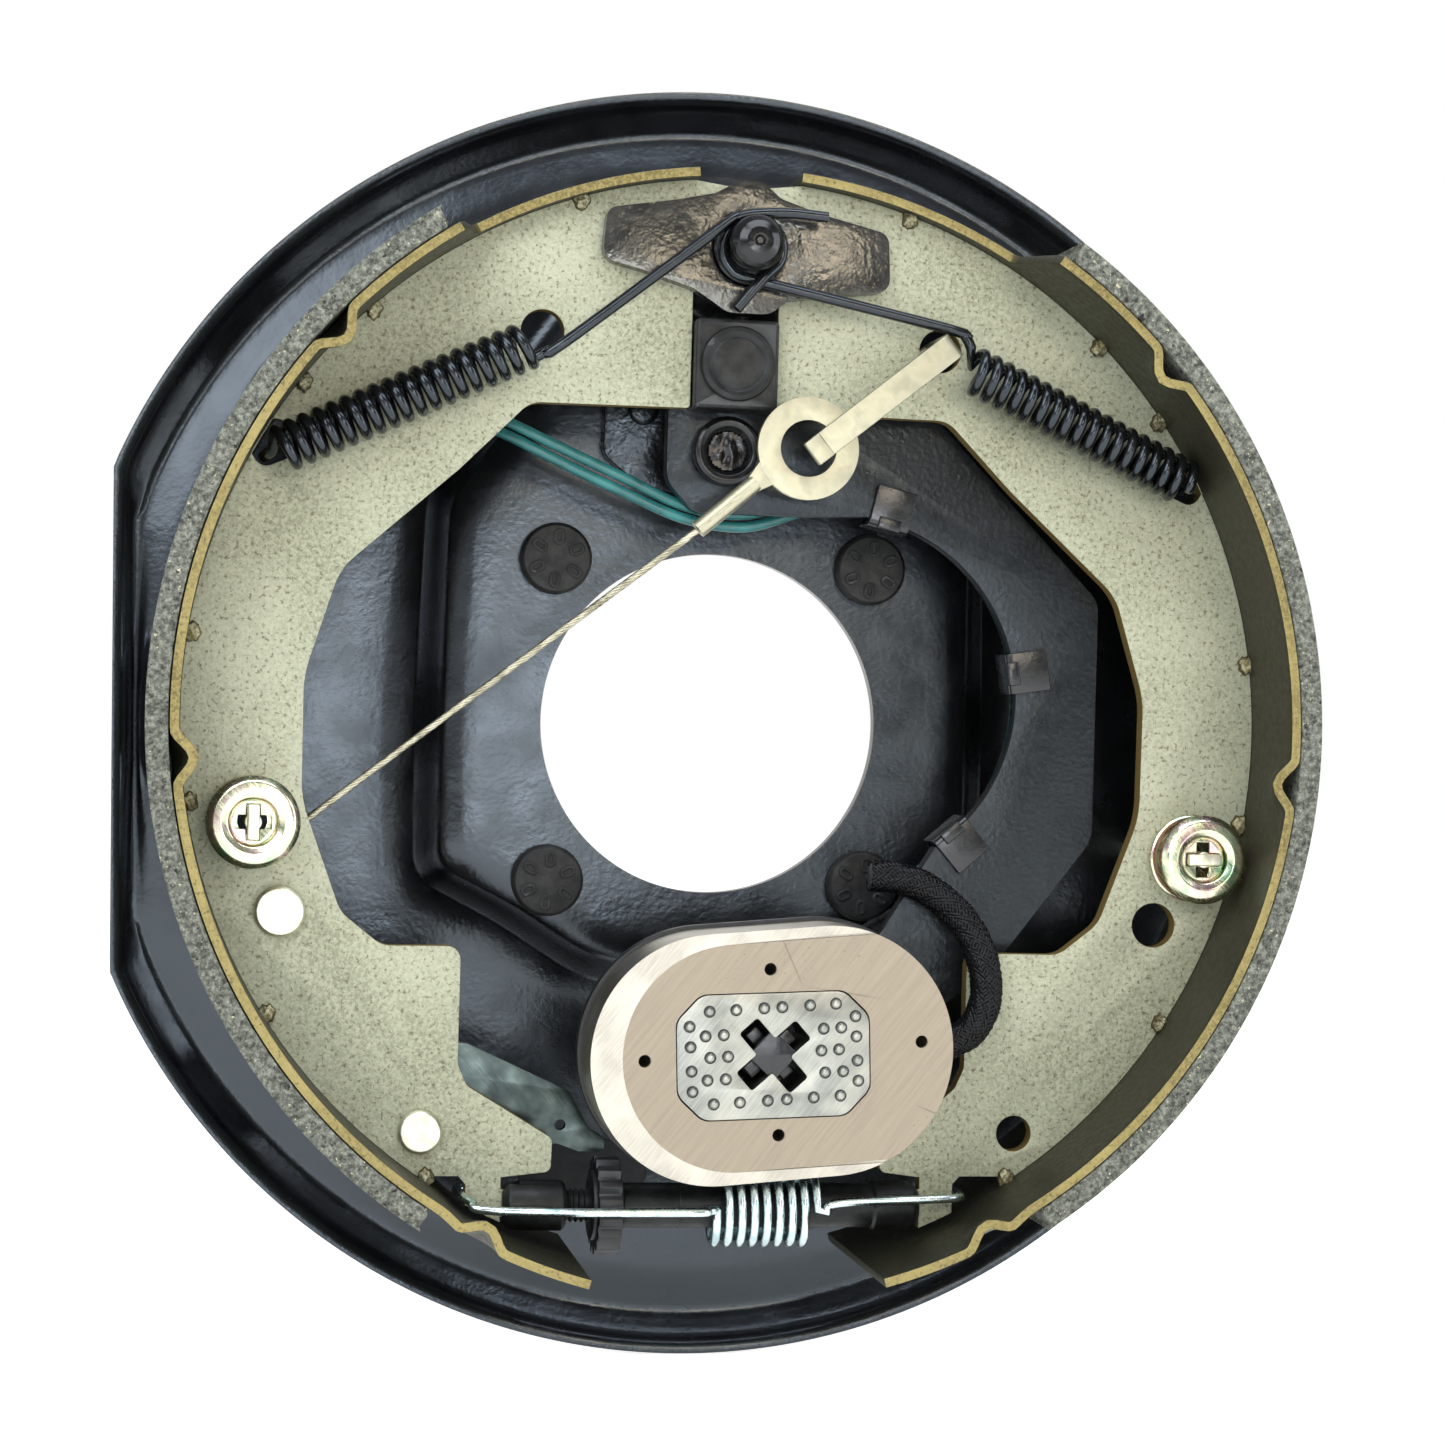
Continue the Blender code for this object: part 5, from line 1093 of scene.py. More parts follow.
# %% Hold-downs
for name in ("left", "right"):
    centre = HOLD_DOWNS[name]
    half = (1.3, 3.8) if name == "left" else (3.8, 1.3)
    shank = turned(f"{name}_pin_shank", [(0, -45.6, 0), (1.8, -45.6, 0.3), (1.8, PLATE_BACK, 0),
        (5.5, PLATE_BACK, 0), (5.5, PLATE_BACK + 1.2, 0.5), (4.5, PLATE_BACK + 2, 0.5),
        (0, PLATE_BACK + 2, 0)], 4, centre, RIVET_ZINC, steps=40)
    head = block(f"{name}_pin_top", (centre[0] - half[0], -46.6, centre[1] - half[1]),
        (centre[0] + half[0], -44.8, centre[1] + half[1]), RIVET_ZINC, 0.45)
    dress(join(f"{name}_pin", [shank, head]), "plate", "yellow_zinc", f"{name}_hold_down_pin")
    lower = turned(f"{name}_cup_below", [(9.3, -37.6, 0.3), (9.9, -37.2, 0.4), (8.9, -34.3, 0.6),
        (3.2, -34.3, 0), (3.2, -35.3, 0), (8.1, -35.3, 0.6), (8.7, -37.6, 0.3), (9.3, -37.6, 0.3)],
        4, centre, CUP_ZINC, steps=64)
    dress(lower, "plate", "cup_zinc", f"{name}_lower_cup")
    spring = wire(f"{name}_press_spring", coil((centre[0], -36.5, centre[1]),
        (centre[0], -43.7, centre[1]), 7.1, 2.75, 0, 40), 1.5, PINK_ZINC, 12)
    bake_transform(spring)
    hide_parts(f"{name}_hold_down_spring")
    rim = turned(f"{name}_cup_rim", [(4.6, -44.5, 0.2), (5.2, -45.9, 0.7), (6.6, -46.5, 1),
        (8.6, -46.3, 1.2), (10, -44.9, 0.5), (9.6, -44.2, 0.4), (8.2, -45.3, 0.8),
        (6.6, -45.5, 0.8), (6, -45.2, 0.5), (5.6, -43.4, 0.3), (4.6, -43.5, 0.2),
        (4.6, -44.5, 0.2)], 5, centre, CUP_ZINC)
    arm, width = 3.9, 1.5
    cross = [(arm, -width), (arm, width), (width, width), (width, arm), (-width, arm),
        (-width, width), (-arm, width), (-arm, -width), (-width, -width), (-width, -arm),
        (width, -arm), (width, -width)]
    floor_disc = flat_piece(f"{name}_cup_floor", [circle(centre, 4.8), placed(cross, centre)],
        -44.4, -43.5, CUP_ZINC, 0.15)
    dress(join(f"{name}_cup_above", [rim, floor_disc]), f"{name}_cup", "cup_zinc",
        f"{name}_upper_cup")
print("two hold-downs dressed")

# %% [markdown]
# Four pressed-in studs hold the brake to the axle. Their flat heads carry six raised
# oblong rings in a circle. A dark oblong under each ring is painted shade: it shows as a
# dark line round the ring and inside it.

# %% Mounting studs
HEAD_FRONT, HEAD_MARKS, MARK_RADIUS = BOSS_FRONT - GAP - 3.5, 6, 4.9
THREADS, THREAD_PITCH = 16, 1.25


def stud(name, x, z):
    """A stud with its head marks and a shank with rolled thread ridges."""
    shank = [(5.5, BOSS_FRONT - GAP, 0), (5.5, 6, 0)]
    for i in range(THREADS):
        at = 6.6 + THREAD_PITCH * i
        shank += [(5.5, at, 0.1), (4.9, at + 0.62, 0.1)]
    head = [(0, HEAD_FRONT, 0), (7.4, HEAD_FRONT, 0.3), (STUD_HEAD_RADIUS, HEAD_FRONT + 0.7, 0.3),
        (STUD_HEAD_RADIUS, BOSS_FRONT - GAP, 0), *shank, (4.6, 26.8, 0.2), (4, 28, 0.2),
        (0, 28, 0)]
    pieces = [turned(f"{name}_body", head, 2, (x, z), STUD_STEEL, steps=48)]
    for i in range(HEAD_MARKS):
        painted_shade, outer, inner = [placed(placed(stadium(reach, reach - 0.6, 8), (MARK_RADIUS, 0)),
            (x, z), 60 * i + 25) for reach in (2.05, 1.75, 1.15)]
        pieces.append(flat_piece(f"{name}_mark_{i}", [outer, inner], HEAD_FRONT - 0.4,
            HEAD_FRONT + 0.2, STUD_STEEL, 0.12))
        # The dark rubber oblong under the mark is painted shade round and inside the raised ring.
        pieces.append(flat_piece(f"{name}_dirt_{i}", [painted_shade], HEAD_FRONT - 0.05, HEAD_FRONT + 0.2,
            RUBBER, 0))
    return join(f"{name}_dressed", pieces)


for side, x in (("left", -STUD_PATTERN), ("right", STUD_PATTERN)):
    for level, z in (("upper", STUD_PATTERN), ("lower", -STUD_PATTERN)):
        name = f"stud_{level}_{side}"
        dress(stud(name, x, z), "plate", "stud_steel", name)
print("four studs")

# %% [markdown]
# The anchor post is a stepped pin whose domed head is polished by the spring loops. The
# guide plate round it keeps the webs from lifting; it is a thick bow-tie stamping with
# heavy paint. Below it sits a bracket, flush with the plate, which holds the lever's
# pivot.

# %% Anchor post, guide plate and bracket
post = turned("anchor_pin", [(0, -49.8, 0), (0.7, -49.8, 0.2), (1.3, -50.6, 0.3),
    (2.9, -50.3, 1.5), (4.5, -49.5, 1.5), (5.7, -48.2, 1.3), (6.2, -46.6, 0.7), (4.2, -46.2, 0.5),
    (4.2, -38.9, 0.4), (7.4, -38.9, 0.4), (8, -38.3, 0.3), (8, -34.1, 0),
    (POST_RADIUS, -34.1, 0.3), (POST_RADIUS, -8, 0), (13, -8, 0.8), (13, -3.3, 0), (6, -3.3, 0),
    (6, 0.3, 0), (9, 0.3, 0.6), (8, 3.4, 0.8), (0, 3.4, 0)], 5, POST, POST_STEEL)
dress(post, "plate", "black_steel", "anchor_post")
bow = rounded([(-31.4, 111, 2.5), (-32.4, 100, 3.5), (-23, 97.8, 4), (-12, 94.4, 4),
    (-4.6, 89.6, 5), (4.8, 89.6, 5), (9, 93, 4), (31.6, 96, 3), (31, 108.6, 3), (15.4, 112.2, 6),
    (6.6, 115, 4), (2.6, 118.4, 4), (-2.6, 118.4, 4), (-8, 115.4, 4), (-16, 113.6, 6)])
guide_plate = flat_piece("bow_tie_plate", [bow, circle(POST, 8.4, 64)], -38.3, -34.3, GUIDE_PAINT,
    1.2)
dress(guide_plate, "plate", "black_coat", "shoe_guide_plate")
bracket_loop = rounded([(-26.6, 92, 3), (-26.6, 60.4, 4), (-17, 52.6, 3), (14, 52.6, 4),
    (20, 58, 4), (20, 88, 4), (14.5, 90.2, 2), (-15, 90.2, 2), (-20, 92, 2)])
bracket = flat_piece("pivot_plate", [bracket_loop, circle(PIVOT, 5.5, 48)], -7.9, -3.3,
    BRACKET_PAINT, 1.2)
nub = turned("pivot_plate_nub", [(0, -9.6, 0), (2.9, -9.6, 1), (3.5, -8.6, 0.4), (3.5, -7.4, 0)],
    4, (-17.9, 70.7), BRACKET_PAINT, steps=40)
dress(join("bracket_with_nub", [bracket, nub]), "plate", "black_coat", "pivot_bracket")

# %% Pivot pin
pin = turned("pivot_pin_ring", [(0, -29.4, 0), (4.2, -29.4, 0.8), (5.4, -31.4, 0.6),
    (6.6, -31.7, 0.6), (7.6, -31, 0.7), (7.6, -27.9, 0.3), (5.2, -27.8, 0), (5.2, -22.7, 0),
    (9, -22.7, 0.4), (9, -8.3, 0.4), (5.1, -8.3, 0), (5.1, 0.3, 0), (8, 0.3, 0.5), (7, 3, 0.5),
    (0, 3, 0)], 5, PIVOT, POST_STEEL)
work = bmesh.new()
bmesh.ops.create_grid(work, x_segments=22, y_segments=22, size=4.6 * MM)
bmesh.ops.rotate(work, verts=work.verts, matrix=FACE_ON.to_3x3())
far = [v for v in work.verts if v.co.length > 4.5 * MM]
bmesh.ops.delete(work, geom=far, context="VERTS")
for point in work.verts:
    x, z = point.co.x / MM, point.co.z / MM
    crush = noise.noise(Vector((0.5 * x, 0.32 * z, 3)))
    point.co = (Vector((PIVOT[0] + x, -29.9 - 0.8 * crush * (1 - math.hypot(x, z) / 4.9),
        PIVOT[1] + z))) * MM
crushed = from_work("pin_centre", work, POST_STEEL, 60)
if sum(face.normal.y for face in crushed.data.polygons) > 0:
    crushed.data.flip_normals()
dress(join("pivot_pin_dressed", [pin, crushed]), "plate", "black_steel", "lever_pivot_pin")
print("post, guide plate, bracket and pivot pin")

# %% [markdown]
# The grommet and the slot plug are soft rubber mouldings that snap into the plate, with a
# lip on each side of the sheet.

# %% Grommet and slot plug
grommet = turned("grommet_ring", [(3.4, FLOOR_FRONT - 3.6, 0.4), (6.4, FLOOR_FRONT - 3, 0.8),
    (7.4, FLOOR_FRONT - GAP, 0.2), (5, FLOOR_FRONT - GAP, 0), (5, PLATE_BACK, 0),
    (7.4, PLATE_BACK, 0.2), (6.4, FLOOR_FRONT + 6.4, 0.8), (3.4, FLOOR_FRONT + 6.6, 0.4),
    (3.4, FLOOR_FRONT - 3.6, 0.4)], 4, LEAD_HOLE, RUBBER, steps=48)
dress(grommet, "plate", "rubber", "lead_grommet")
layers = [(stadium(15, 7, 14), FLOOR_FRONT - 1.4, FLOOR_FRONT - GAP, 0.5),
    (stadium(12.6, 4.6, 14), FLOOR_FRONT - 0.5, FLOOR_FRONT + 4.6, 0),
    (stadium(15.5, 7.5, 14), PLATE_BACK, FLOOR_FRONT + 6, 0.8)]
plug = join("slot_plug", [flat_piece(f"plug_layer_{i}", [placed(loop, ADJUSTING_SLOT)], front,
    back, RUBBER, edge) for i, (loop, front, back, edge) in enumerate(layers)])
dress(plug, "plate", "rubber", "adjusting_slot_plug")

# %% [markdown]
# The actuating lever is a heavy stamping that hangs from the pivot. The magnet drags its
# lower end round with the drum, and the square block near its top pushes a shoe out. Its
# inner edge is rolled over, which is the bright arc round the axle hole.

# %% Actuating lever
arm_inner = [(x, z, 0) for x, z in arc(LEVER_ARC, LEVER_ARC_RADIUS, 84, -56, 60)]
arm_head = [(-11.6, 88.2, 3), (-15.3, 80, 3), (-15.3, 53.5, 6), (-9, 46.6, 5), (16, 46.6, 0)]
arm_foot = [(36, -46, 5), (20, -54, 8), (-8, -60, 6), (-8, -78, 7), (16, -82, 8), (52, -61, 12),
    (64.7, -49.8, 4), (84.5, -24, 8), (84.5, 30, 6)]
arm_shoulder = [(45.6, 69.6, 5), (14, 69.6, 3), (8, 88.2, 3)]
arm_loop = rounded(arm_head + arm_inner + arm_foot + arm_shoulder)
arm = flat_piece("lever_stamping", [arm_loop, circle(PIVOT, 5.6, 48),
    circle(BLOCK_CENTRE, 4.4, 40), circle(MAGNET, 4.4, 40)], LEVER_FRONT, LEVER_BACK, LEVER_PAINT,
    1.3)
dress(arm, "lever", "black_coat", "actuating_lever")
half = (BLOCK_SIZE[0] / 2, BLOCK_SIZE[1] / 2)
block_loop = placed(rounded([(-half[0], -half[1], 1), (half[0], -half[1], 1),
    (half[0], half[1], 1), (-half[0], half[1], 1)]), BLOCK_CENTRE)
push_block = flat_piece("push_block", [block_loop, circle(BLOCK_CENTRE, 4.4, 40)], BLOCK_FRONT,
    LEVER_FRONT - GAP, BLACK_STEEL, 0.8)
dress(push_block, "lever", "black_steel", "lever_block")
stem = [(4.1, LEVER_BACK + GAP, 0), (6.4, LEVER_BACK + GAP, 0.3), (5.6, LEVER_BACK + 2.2, 0.5),
    (0, LEVER_BACK + 2.2, 0)]
rings = [(0, -39.3, 0), (5.4, -39.3, 0.2), (5.8, -39.05, 0.1), (6.2, -39.3, 0.2),
    (6.9, -39.5, 0.2), (7.9, -39.4, 0.4), (8.2, -39, 0.2), (8.2, BLOCK_FRONT - GAP, 0),
    (4.1, BLOCK_FRONT - GAP, 0)]
dress(turned("block_rivet", rings + stem, 3, BLOCK_CENTRE, BLACK_STEEL), "lever", "black_steel",
    "block_pin")
collar = [(0, -57, 0), (2.6, -57, 0.3), (3.1, -56.4, 0.2), (3.1, LEVER_FRONT - GAP - 2.4, 0),
    (6.6, LEVER_FRONT - GAP - 2, 0.3), (6.6, LEVER_FRONT - GAP, 0), (4.1, LEVER_FRONT - GAP, 0)]
dress(turned("magnet_stem", collar + stem, 3, MAGNET, BLACK_STEEL, steps=40), "lever",
    "black_steel", "magnet_post")
print("lever outline has", len(arm_loop), "points")

# %% [markdown]
# Three folded clips hold the leads along the lever's inner edge. A clip is drawn as the
# section of a C, is given its width and is then stood up across the edge.

# %% Wire clips
for name, degrees in (("upper", 76), ("middle", 8.8), ("lower", -49)):
    inner, outer = LEVER_ARC_RADIUS - 1.9, LEVER_ARC_RADIUS + 7.6
    front, back, wall = LEVER_FRONT - 1.6, LEVER_BACK + 4.7, 1.2
    section = rounded([(outer, -front, 0.3), (inner, -front, 1.6), (inner, -back, 1.6),
        (outer, -back, 0.3), (outer, wall - back, 0.2), (inner + wall, wall - back, 0.6),
        (inner + wall, -front - wall, 0.6), (outer, -front - wall, 0.2)], 4)
    radial = Vector((math.cos(math.radians(degrees)), 0, math.sin(math.radians(degrees))))
    place = Matrix.Translation((LEVER_ARC[0] * MM, 0, LEVER_ARC[1] * MM)) @ standing(radial)
    clip = flat_piece(f"clip_{name}_band", [section], -4.6, 4.6, CLIP_NYLON, 0.5, place)
    ridge = rounded([(inner - 0.1, -front - 1, 0.4), (inner - 0.1, -front + 0.7, 0.4),
        (inner + 2.6, -front + 0.7, 0.4), (inner + 2.6, -front - 1, 0.4)], 3)
    bump = flat_piece(f"clip_{name}_ridge", [ridge], -2.6, 2.6, CLIP_NYLON, 0.3, place)
    dress(join(f"clip_{name}", [clip, bump]), "lever", "black_plastic", f"wire_clip_{name}")

# %% [markdown]
# Two green leads run from the grommet, under the lever's head and along its inner edge to
# the magnet. Near the magnet a braided sleeve covers them. A braid is two sets of yarns
# that wind round a tube in opposite directions and pass over and under each other, so that
# is how it is made here: each yarn is a thin line on the tube whose height rises and falls.

# %% Leads


def lead_route(offset):
    """A lead's path from the grommet, under the lever's head and along its inner edge."""
    depth = LEVER_BACK + 1.9
    route = [(LEAD_HOLE[0] + 1.4 * offset, FLOOR_FRONT + 6, LEAD_HOLE[1] - 1.4 * offset),
        (LEAD_HOLE[0] + 1.4 * offset, FLOOR_FRONT - 4, LEAD_HOLE[1] - 1.4 * offset),
        (-64, -12, 70.6 - 2 * offset), (-50.6, -19, 64.4 - 1.5 * offset),
        (-37, -20.2, 58.2 - 1.6 * offset), (-24, -20.6, 52.6 - 1.6 * offset),
        (-10, -20.8, 47 - 1.4 * offset), (4, -21, 45.6 - 1.4 * offset)]
    for degrees in range(102, -46, -12):
        x, z = polar(LEVER_ARC_RADIUS + 3.3 - 1.6 * offset, degrees, LEVER_ARC)
        route.append((x, depth, z))
    return route


CURLS = {1: [(45.8, -21.3, -32.2), (41, -22, -32.8), (36.6, -24.6, -32.3), (34.4, -28.4, -31.8),
    (35.4, -31.2, -31.4), (38.4, -31.4, -31.8)], 2: [(46.6, -21.3, -34.9), (41, -22, -35.5),
    (36.6, -24.6, -35), (34.4, -28.4, -34.5), (35.4, -31.2, -34.1), (38.4, -31.6, -34.5)]}
for number, offset in ((1, 1), (2, -1)):
    lead = wire(f"green_lead_{number}", smooth_path(lead_route(offset) + CURLS[number], 1.6),
        LEAD_DIAMETER, LEAD_PVC, 14)
    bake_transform(lead)
    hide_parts(f"lead_{number}")

# %% Braided sleeve
SLEEVE_ROUTE = smooth_path([(32.4, -31.4, -32.6), (39, -31.6, -33.2), (46, -33, -36),
    (53, -36, -42.6), (56.8, -38.6, -51), (57, -40.6, -59.6), (53.4, -41.6, -66.2),
    (47.8, -42, -68.8)], 0.7)


def wound(route, radius, turns, start_angle, wave, waves):
    """A line wound round a route, rising and falling as it goes."""
    points = []
    side = Vector((0, 0, 1))
    for i, spot in enumerate(route):
        here = Vector(spot)
        before, after = route[max(i - 1, 0)], route[min(i + 1, len(route) - 1)]
        ahead = (Vector(after) - Vector(before)).normalized()
        side = (side - ahead * side.dot(ahead)).normalized()
        other = ahead.cross(side)
        t = i / (len(route) - 1)
        angle = math.radians(start_angle) + 2 * math.pi * turns * t
        out = radius + wave * math.sin(2 * math.pi * waves * t + math.radians(start_angle) * 6)
        points.append(tuple(here + out * (side * math.cos(angle) + other * math.sin(angle))))
    return points


YARNS, YARN_DIAMETER, BRAID_TURNS = 10, 0.78, 2.7
pieces = [wire("sleeve_core", SLEEVE_ROUTE, SLEEVE_DIAMETER - 1.9, YARN, 20)]
for way in (1, -1):
    for i in range(YARNS):
        for lay in (-8, 8):
            beside = wound(SLEEVE_ROUTE, SLEEVE_DIAMETER / 2 - 0.62, BRAID_TURNS * way,
                360 * i / YARNS + lay, 0.24 * way, BRAID_TURNS * YARNS)
            pieces.append(wire(f"yarn_{way}_{i}_{lay}", beside, YARN_DIAMETER, YARN, 8))
sleeve = join("braided_sleeve", pieces)
dress(sleeve, "lever", "braid_black", "lead_sleeve")
print("sleeve:", 4 * YARNS, "yarns,", len(sleeve.data.polygons), "faces")

# %% [markdown]
# The electromagnet rubs on the drum's face, so its front is ground flat. A steel cup holds
# the coil, a cream resin fills the face, and a pole core with small pips and a cross-shaped
# hole sits in the middle. Behind it is a nylon body that plugs on to the lever's post.

# %% Magnet shell and facing
LEAN = -2.5
FACE_SKIN = 0.9
END_RUN = MAGNET_HALF_LENGTH - MAGNET_END_RADIUS
RESIN_RADIUS, RESIN_CENTRE = 24, (-8.2, 0)
RESIN_ANGLE = math.degrees(math.atan2(RESIN_RADIUS,
    math.sqrt(MAGNET_END_RADIUS ** 2 - RESIN_RADIUS ** 2)))
RESIN_HOLES = ((-1.2, 18.2), (-27.5, -1.4), (32, 3.2), (1.5, -16.8))


def on_magnet(loop, extra=0):
    """Put an outline on the magnet's face."""
    return placed(loop, MAGNET, MAGNET_TILT + extra)


def window(grow):
    """The window round the pole core: a rectangle with cut and softened corners."""
    x, z, cut = CORE_SIZE[0] / 2 + grow, CORE_SIZE[1] / 2 + grow, 5.4
    return rounded([(-x, z - cut, 4), (-x, cut - z, 4), (cut - x, -z, 4), (x - cut, -z, 4),
        (x, cut - z, 4), (x, z - cut, 4), (x - cut, z, 4), (cut - x, z, 4)])


resin_edge = arc(RESIN_CENTRE, RESIN_RADIUS, 90, 270, 60)
resin_loop = (resin_edge
    + arc((END_RUN, 0), MAGNET_END_RADIUS - 0.02, -RESIN_ANGLE, RESIN_ANGLE, 60))
resin_holes = [placed(circle(spot, 1.35, 28), MAGNET) for spot in RESIN_HOLES]
rim = on_magnet(stadium(MAGNET_HALF_LENGTH, MAGNET_END_RADIUS, 60))
crescent = (resin_edge + arc((END_RUN, 0), MAGNET_END_RADIUS, -RESIN_ANGLE, -90, 8)[1:]
    + arc((-END_RUN, 0), MAGNET_END_RADIUS, 270, 90, 60)
    + arc((END_RUN, 0), MAGNET_END_RADIUS, 90, RESIN_ANGLE, 8)[:-1])
shell_front = flat_piece("shell_front", [on_magnet(crescent)], MAGNET_FRONT,
    MAGNET_FRONT + FACE_SKIN, SHELL_STEEL, 0)
shell_body = flat_piece("shell_wall", [rim, on_magnet(window(0.4), LEAN), *resin_holes],
    MAGNET_FRONT + FACE_SKIN, SHELL_BACK, SHELL_STEEL, 0)
dress(join("magnet_cup", [shell_front, shell_body]), "magnet", "magnet_steel", "magnet_shell")
facing = flat_piece("resin_face", [on_magnet(resin_loop), on_magnet(window(0.25), LEAN),
    *resin_holes], MAGNET_FRONT - 0.02, MAGNET_FRONT + FACE_SKIN - 0.02, RESIN, 0)
dress(facing, "magnet", "magnet_fill", "magnet_facing")

# %% Pole core with its pips
CORE_FRONT = MAGNET_FRONT + 0.1
ARM, ARM_HALF = 8.4, 2.6
cross = rounded([(ARM, -ARM_HALF, 0.7), (ARM, ARM_HALF, 0.7), (ARM_HALF, ARM_HALF, 0.5),
    (ARM_HALF, ARM, 0.7), (-ARM_HALF, ARM, 0.7), (-ARM_HALF, ARM_HALF, 0.5), (-ARM, ARM_HALF, 0.7),
    (-ARM, -ARM_HALF, 0.7), (-ARM_HALF, -ARM_HALF, 0.5), (-ARM_HALF, -ARM, 0.7),
    (ARM_HALF, -ARM, 0.7), (ARM_HALF, -ARM_HALF, 0.5)], 4)
PIP_ROWS = {10.1: (-13.3, -7.6, -1.6, 2.3, 8.3, 13.9), -9.4: (-13.3, -7.7, -1.7, 2.4, 8.2, 14),
    7.2: (-17.7, 18), 2.9: (-17.7, 18), -2.2: (-17.7, 18), -6.5: (-17.7, 18),
    5: (-14.4, -10.5, 11, 14.8), 0.4: (-13.6, -9.8, 10.3, 14.1), -4.3: (-14.4, -10.5, 10.9, 14.8)}
pieces = [flat_piece("core_plate", [on_magnet(window(0), LEAN), placed(cross, MAGNET, 42)],
    CORE_FRONT, SHELL_BACK, CORE_STEEL, 0.15)]
PIP_RADIUS, PIP_HEIGHT = 1.05, 0.8
for height, row in PIP_ROWS.items():
    for along in row:
        spot = placed([(along, height)], MAGNET, 4.2)[0]
        peak = CORE_FRONT - PIP_HEIGHT
        curve = [(0, peak, 0), (0.6, peak, 0.3), (0.95, CORE_FRONT - 0.3, 0.2),
            (0.98, CORE_FRONT, 0)]
        pieces.append(turned(f"pip_{along}_{height}", curve, 3, spot, CORE_STEEL, steps=20))
        # A dark ring round the foot of each pip is painted shade, so that the small pips stand
        # out.
        painted_shade = [(0.9, CORE_FRONT - 0.12, 0), (PIP_RADIUS + 0.25, CORE_FRONT - 0.03, 0),
            (PIP_RADIUS + 0.3, CORE_FRONT + 0.1, 0)]
        pieces.append(turned(f"pip_dirt_{along}_{height}", painted_shade, 1, spot, STUD_STEEL, steps=20))
core = join("pole_core", pieces)
dress(core, "magnet", "magnet_steel", "magnet_core")
square = rounded([(-3.9, -3.9, 0.6), (3.9, -3.9, 0.6), (3.9, 3.9, 0.6), (-3.9, 3.9, 0.6)], 4)
clip = flat_piece("clip_square", [placed(square, MAGNET, 48)], -60.4, -58.7, CLIP_NYLON, 0.35)
leg_loop = [(1, -1.6), (6.4, -1.6), (6.4, 1.6), (1, 1.6)]
legs = [flat_piece(f"clip_leg_{i}", [placed(leg_loop, MAGNET, 42 + turn)], -56.4, -50, CLIP_NYLON,
    0.4) for i, turn in enumerate((0, 90, 180, 270))]
dress(join("post_clip", [clip, *legs]), "lever", "black_plastic", "magnet_clip")

# %% Magnet housing and its spring
length, radius = MAGNET_HALF_LENGTH + 0.8, MAGNET_END_RADIUS + 0.8
body = flat_piece("housing_front", [on_magnet(stadium(length, radius, 48)),
    circle(MAGNET, 6.9, 48)], SHELL_BACK + GAP, -42.2, NYLON, 0.7)
rear = flat_piece("housing_back", [on_magnet(stadium(length - 4.2, radius - 4.2, 48)),
    circle(MAGNET, 7, 48)], -43.2, MAGNET_BACK, NYLON, 0.9)
dress(join("coil_housing", [body, rear]), "magnet", "black_plastic", "magnet_housing")
float_spring = wire("float_spring", coil((MAGNET[0], LEVER_FRONT - 1.2, MAGNET[1]),
    (MAGNET[0], MAGNET_BACK + 1.2, MAGNET[1]), 9.6, 2, 0, 48), 1.4, SPRING_ZINC, 10)
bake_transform(float_spring)
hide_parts("magnet_spring")
print("magnet:", len(core.data.polygons), "faces on the pole core")

# %% [markdown]
# The adjuster is a turnbuckle between the shoes' feet. A forked nut takes the screw's
# thread on the left, the star wheel is part of the screw, and a forked socket lets the
# screw's plain end turn on the right. A tooth outline gives the wheel its points.

# %% Adjusting screw
AXIS = (SCREW_Y, SCREW_Z)
LEFT_END = -WEB_SIDES["left"]["leg"][0] + GAP
RIGHT_END = WEB_SIDES["right"]["leg"][0] - GAP


def forked(name, profile, low, high):
    """A turned sleeve with a slot across one end, which straddles a web."""
    sleeve_part = turned(name, profile, 3, AXIS, BLACK_STEEL, "X", 56)
    tool = block(f"{name}_tool", (low, WEB_FRONT - 0.4, SCREW_Z - 8),
        (high, WEB_BACK + 0.4, SCREW_Z + 8), BLACK_STEEL, 0)
    cut = sleeve_part.modifiers.new("slot", "BOOLEAN")
    cut.object = tool
    mesh = evaluated(sleeve_part)
    bpy.data.objects.remove(tool)
    bpy.data.objects.remove(sleeve_part)
    return keep(name, mesh, BLACK_STEEL)


nut_profile = [(4.1, -34.2, 0), (4.9, -34.2, 0.3), (SOCKET_RADIUS, -35, 0.3),
    (SOCKET_RADIUS, LEFT_END + 1.5, 0.5), (4.1, LEFT_END, 0.5), (0, LEFT_END, 0), (0, -39.6, 0),
    (4.1, -39.6, 0), (4.1, -34.2, 0)]
dress(forked("forked_nut", nut_profile, LEFT_END - 1, LEFT_END + 3.9), "plate", "black_steel",
    "adjuster_nut")
socket_profile = [(0, RIGHT_END, 0), (4.1, RIGHT_END, 0.5), (SOCKET_RADIUS, RIGHT_END - 1.5, 0.5),
    (SOCKET_RADIUS, 34.6, 0.3), (4.9, 34, 0.3), (4.9, -9, 0.1), (4.75, -9.3, 0.1),
    (4.9, -9.6, 0.1), (4.9, -21.6, 0.2), (4.1, -21.6, 0), (4.1, 26, 0), (0, 26, 0)]
dress(forked("forked_socket", socket_profile, RIGHT_END - 3.9, RIGHT_END + 1), "plate",
    "black_steel", "adjuster_socket")
thread = [(0, 25, 0), (3.2, 25, 0.2), (3.7, 24.4, 0.2), (3.7, -22, 0), (7.6, -22, 0.4),
    (7.6, -28.6, 0.4), (3.4, -28.6, 0.2)]
for i in range(8):
    thread += [(3.75, -29.2 - 1.2 * i, 0.08), (3.05, -29.8 - 1.2 * i, 0.08)]
thread += [(3, -39, 0.2), (0, -39, 0)]
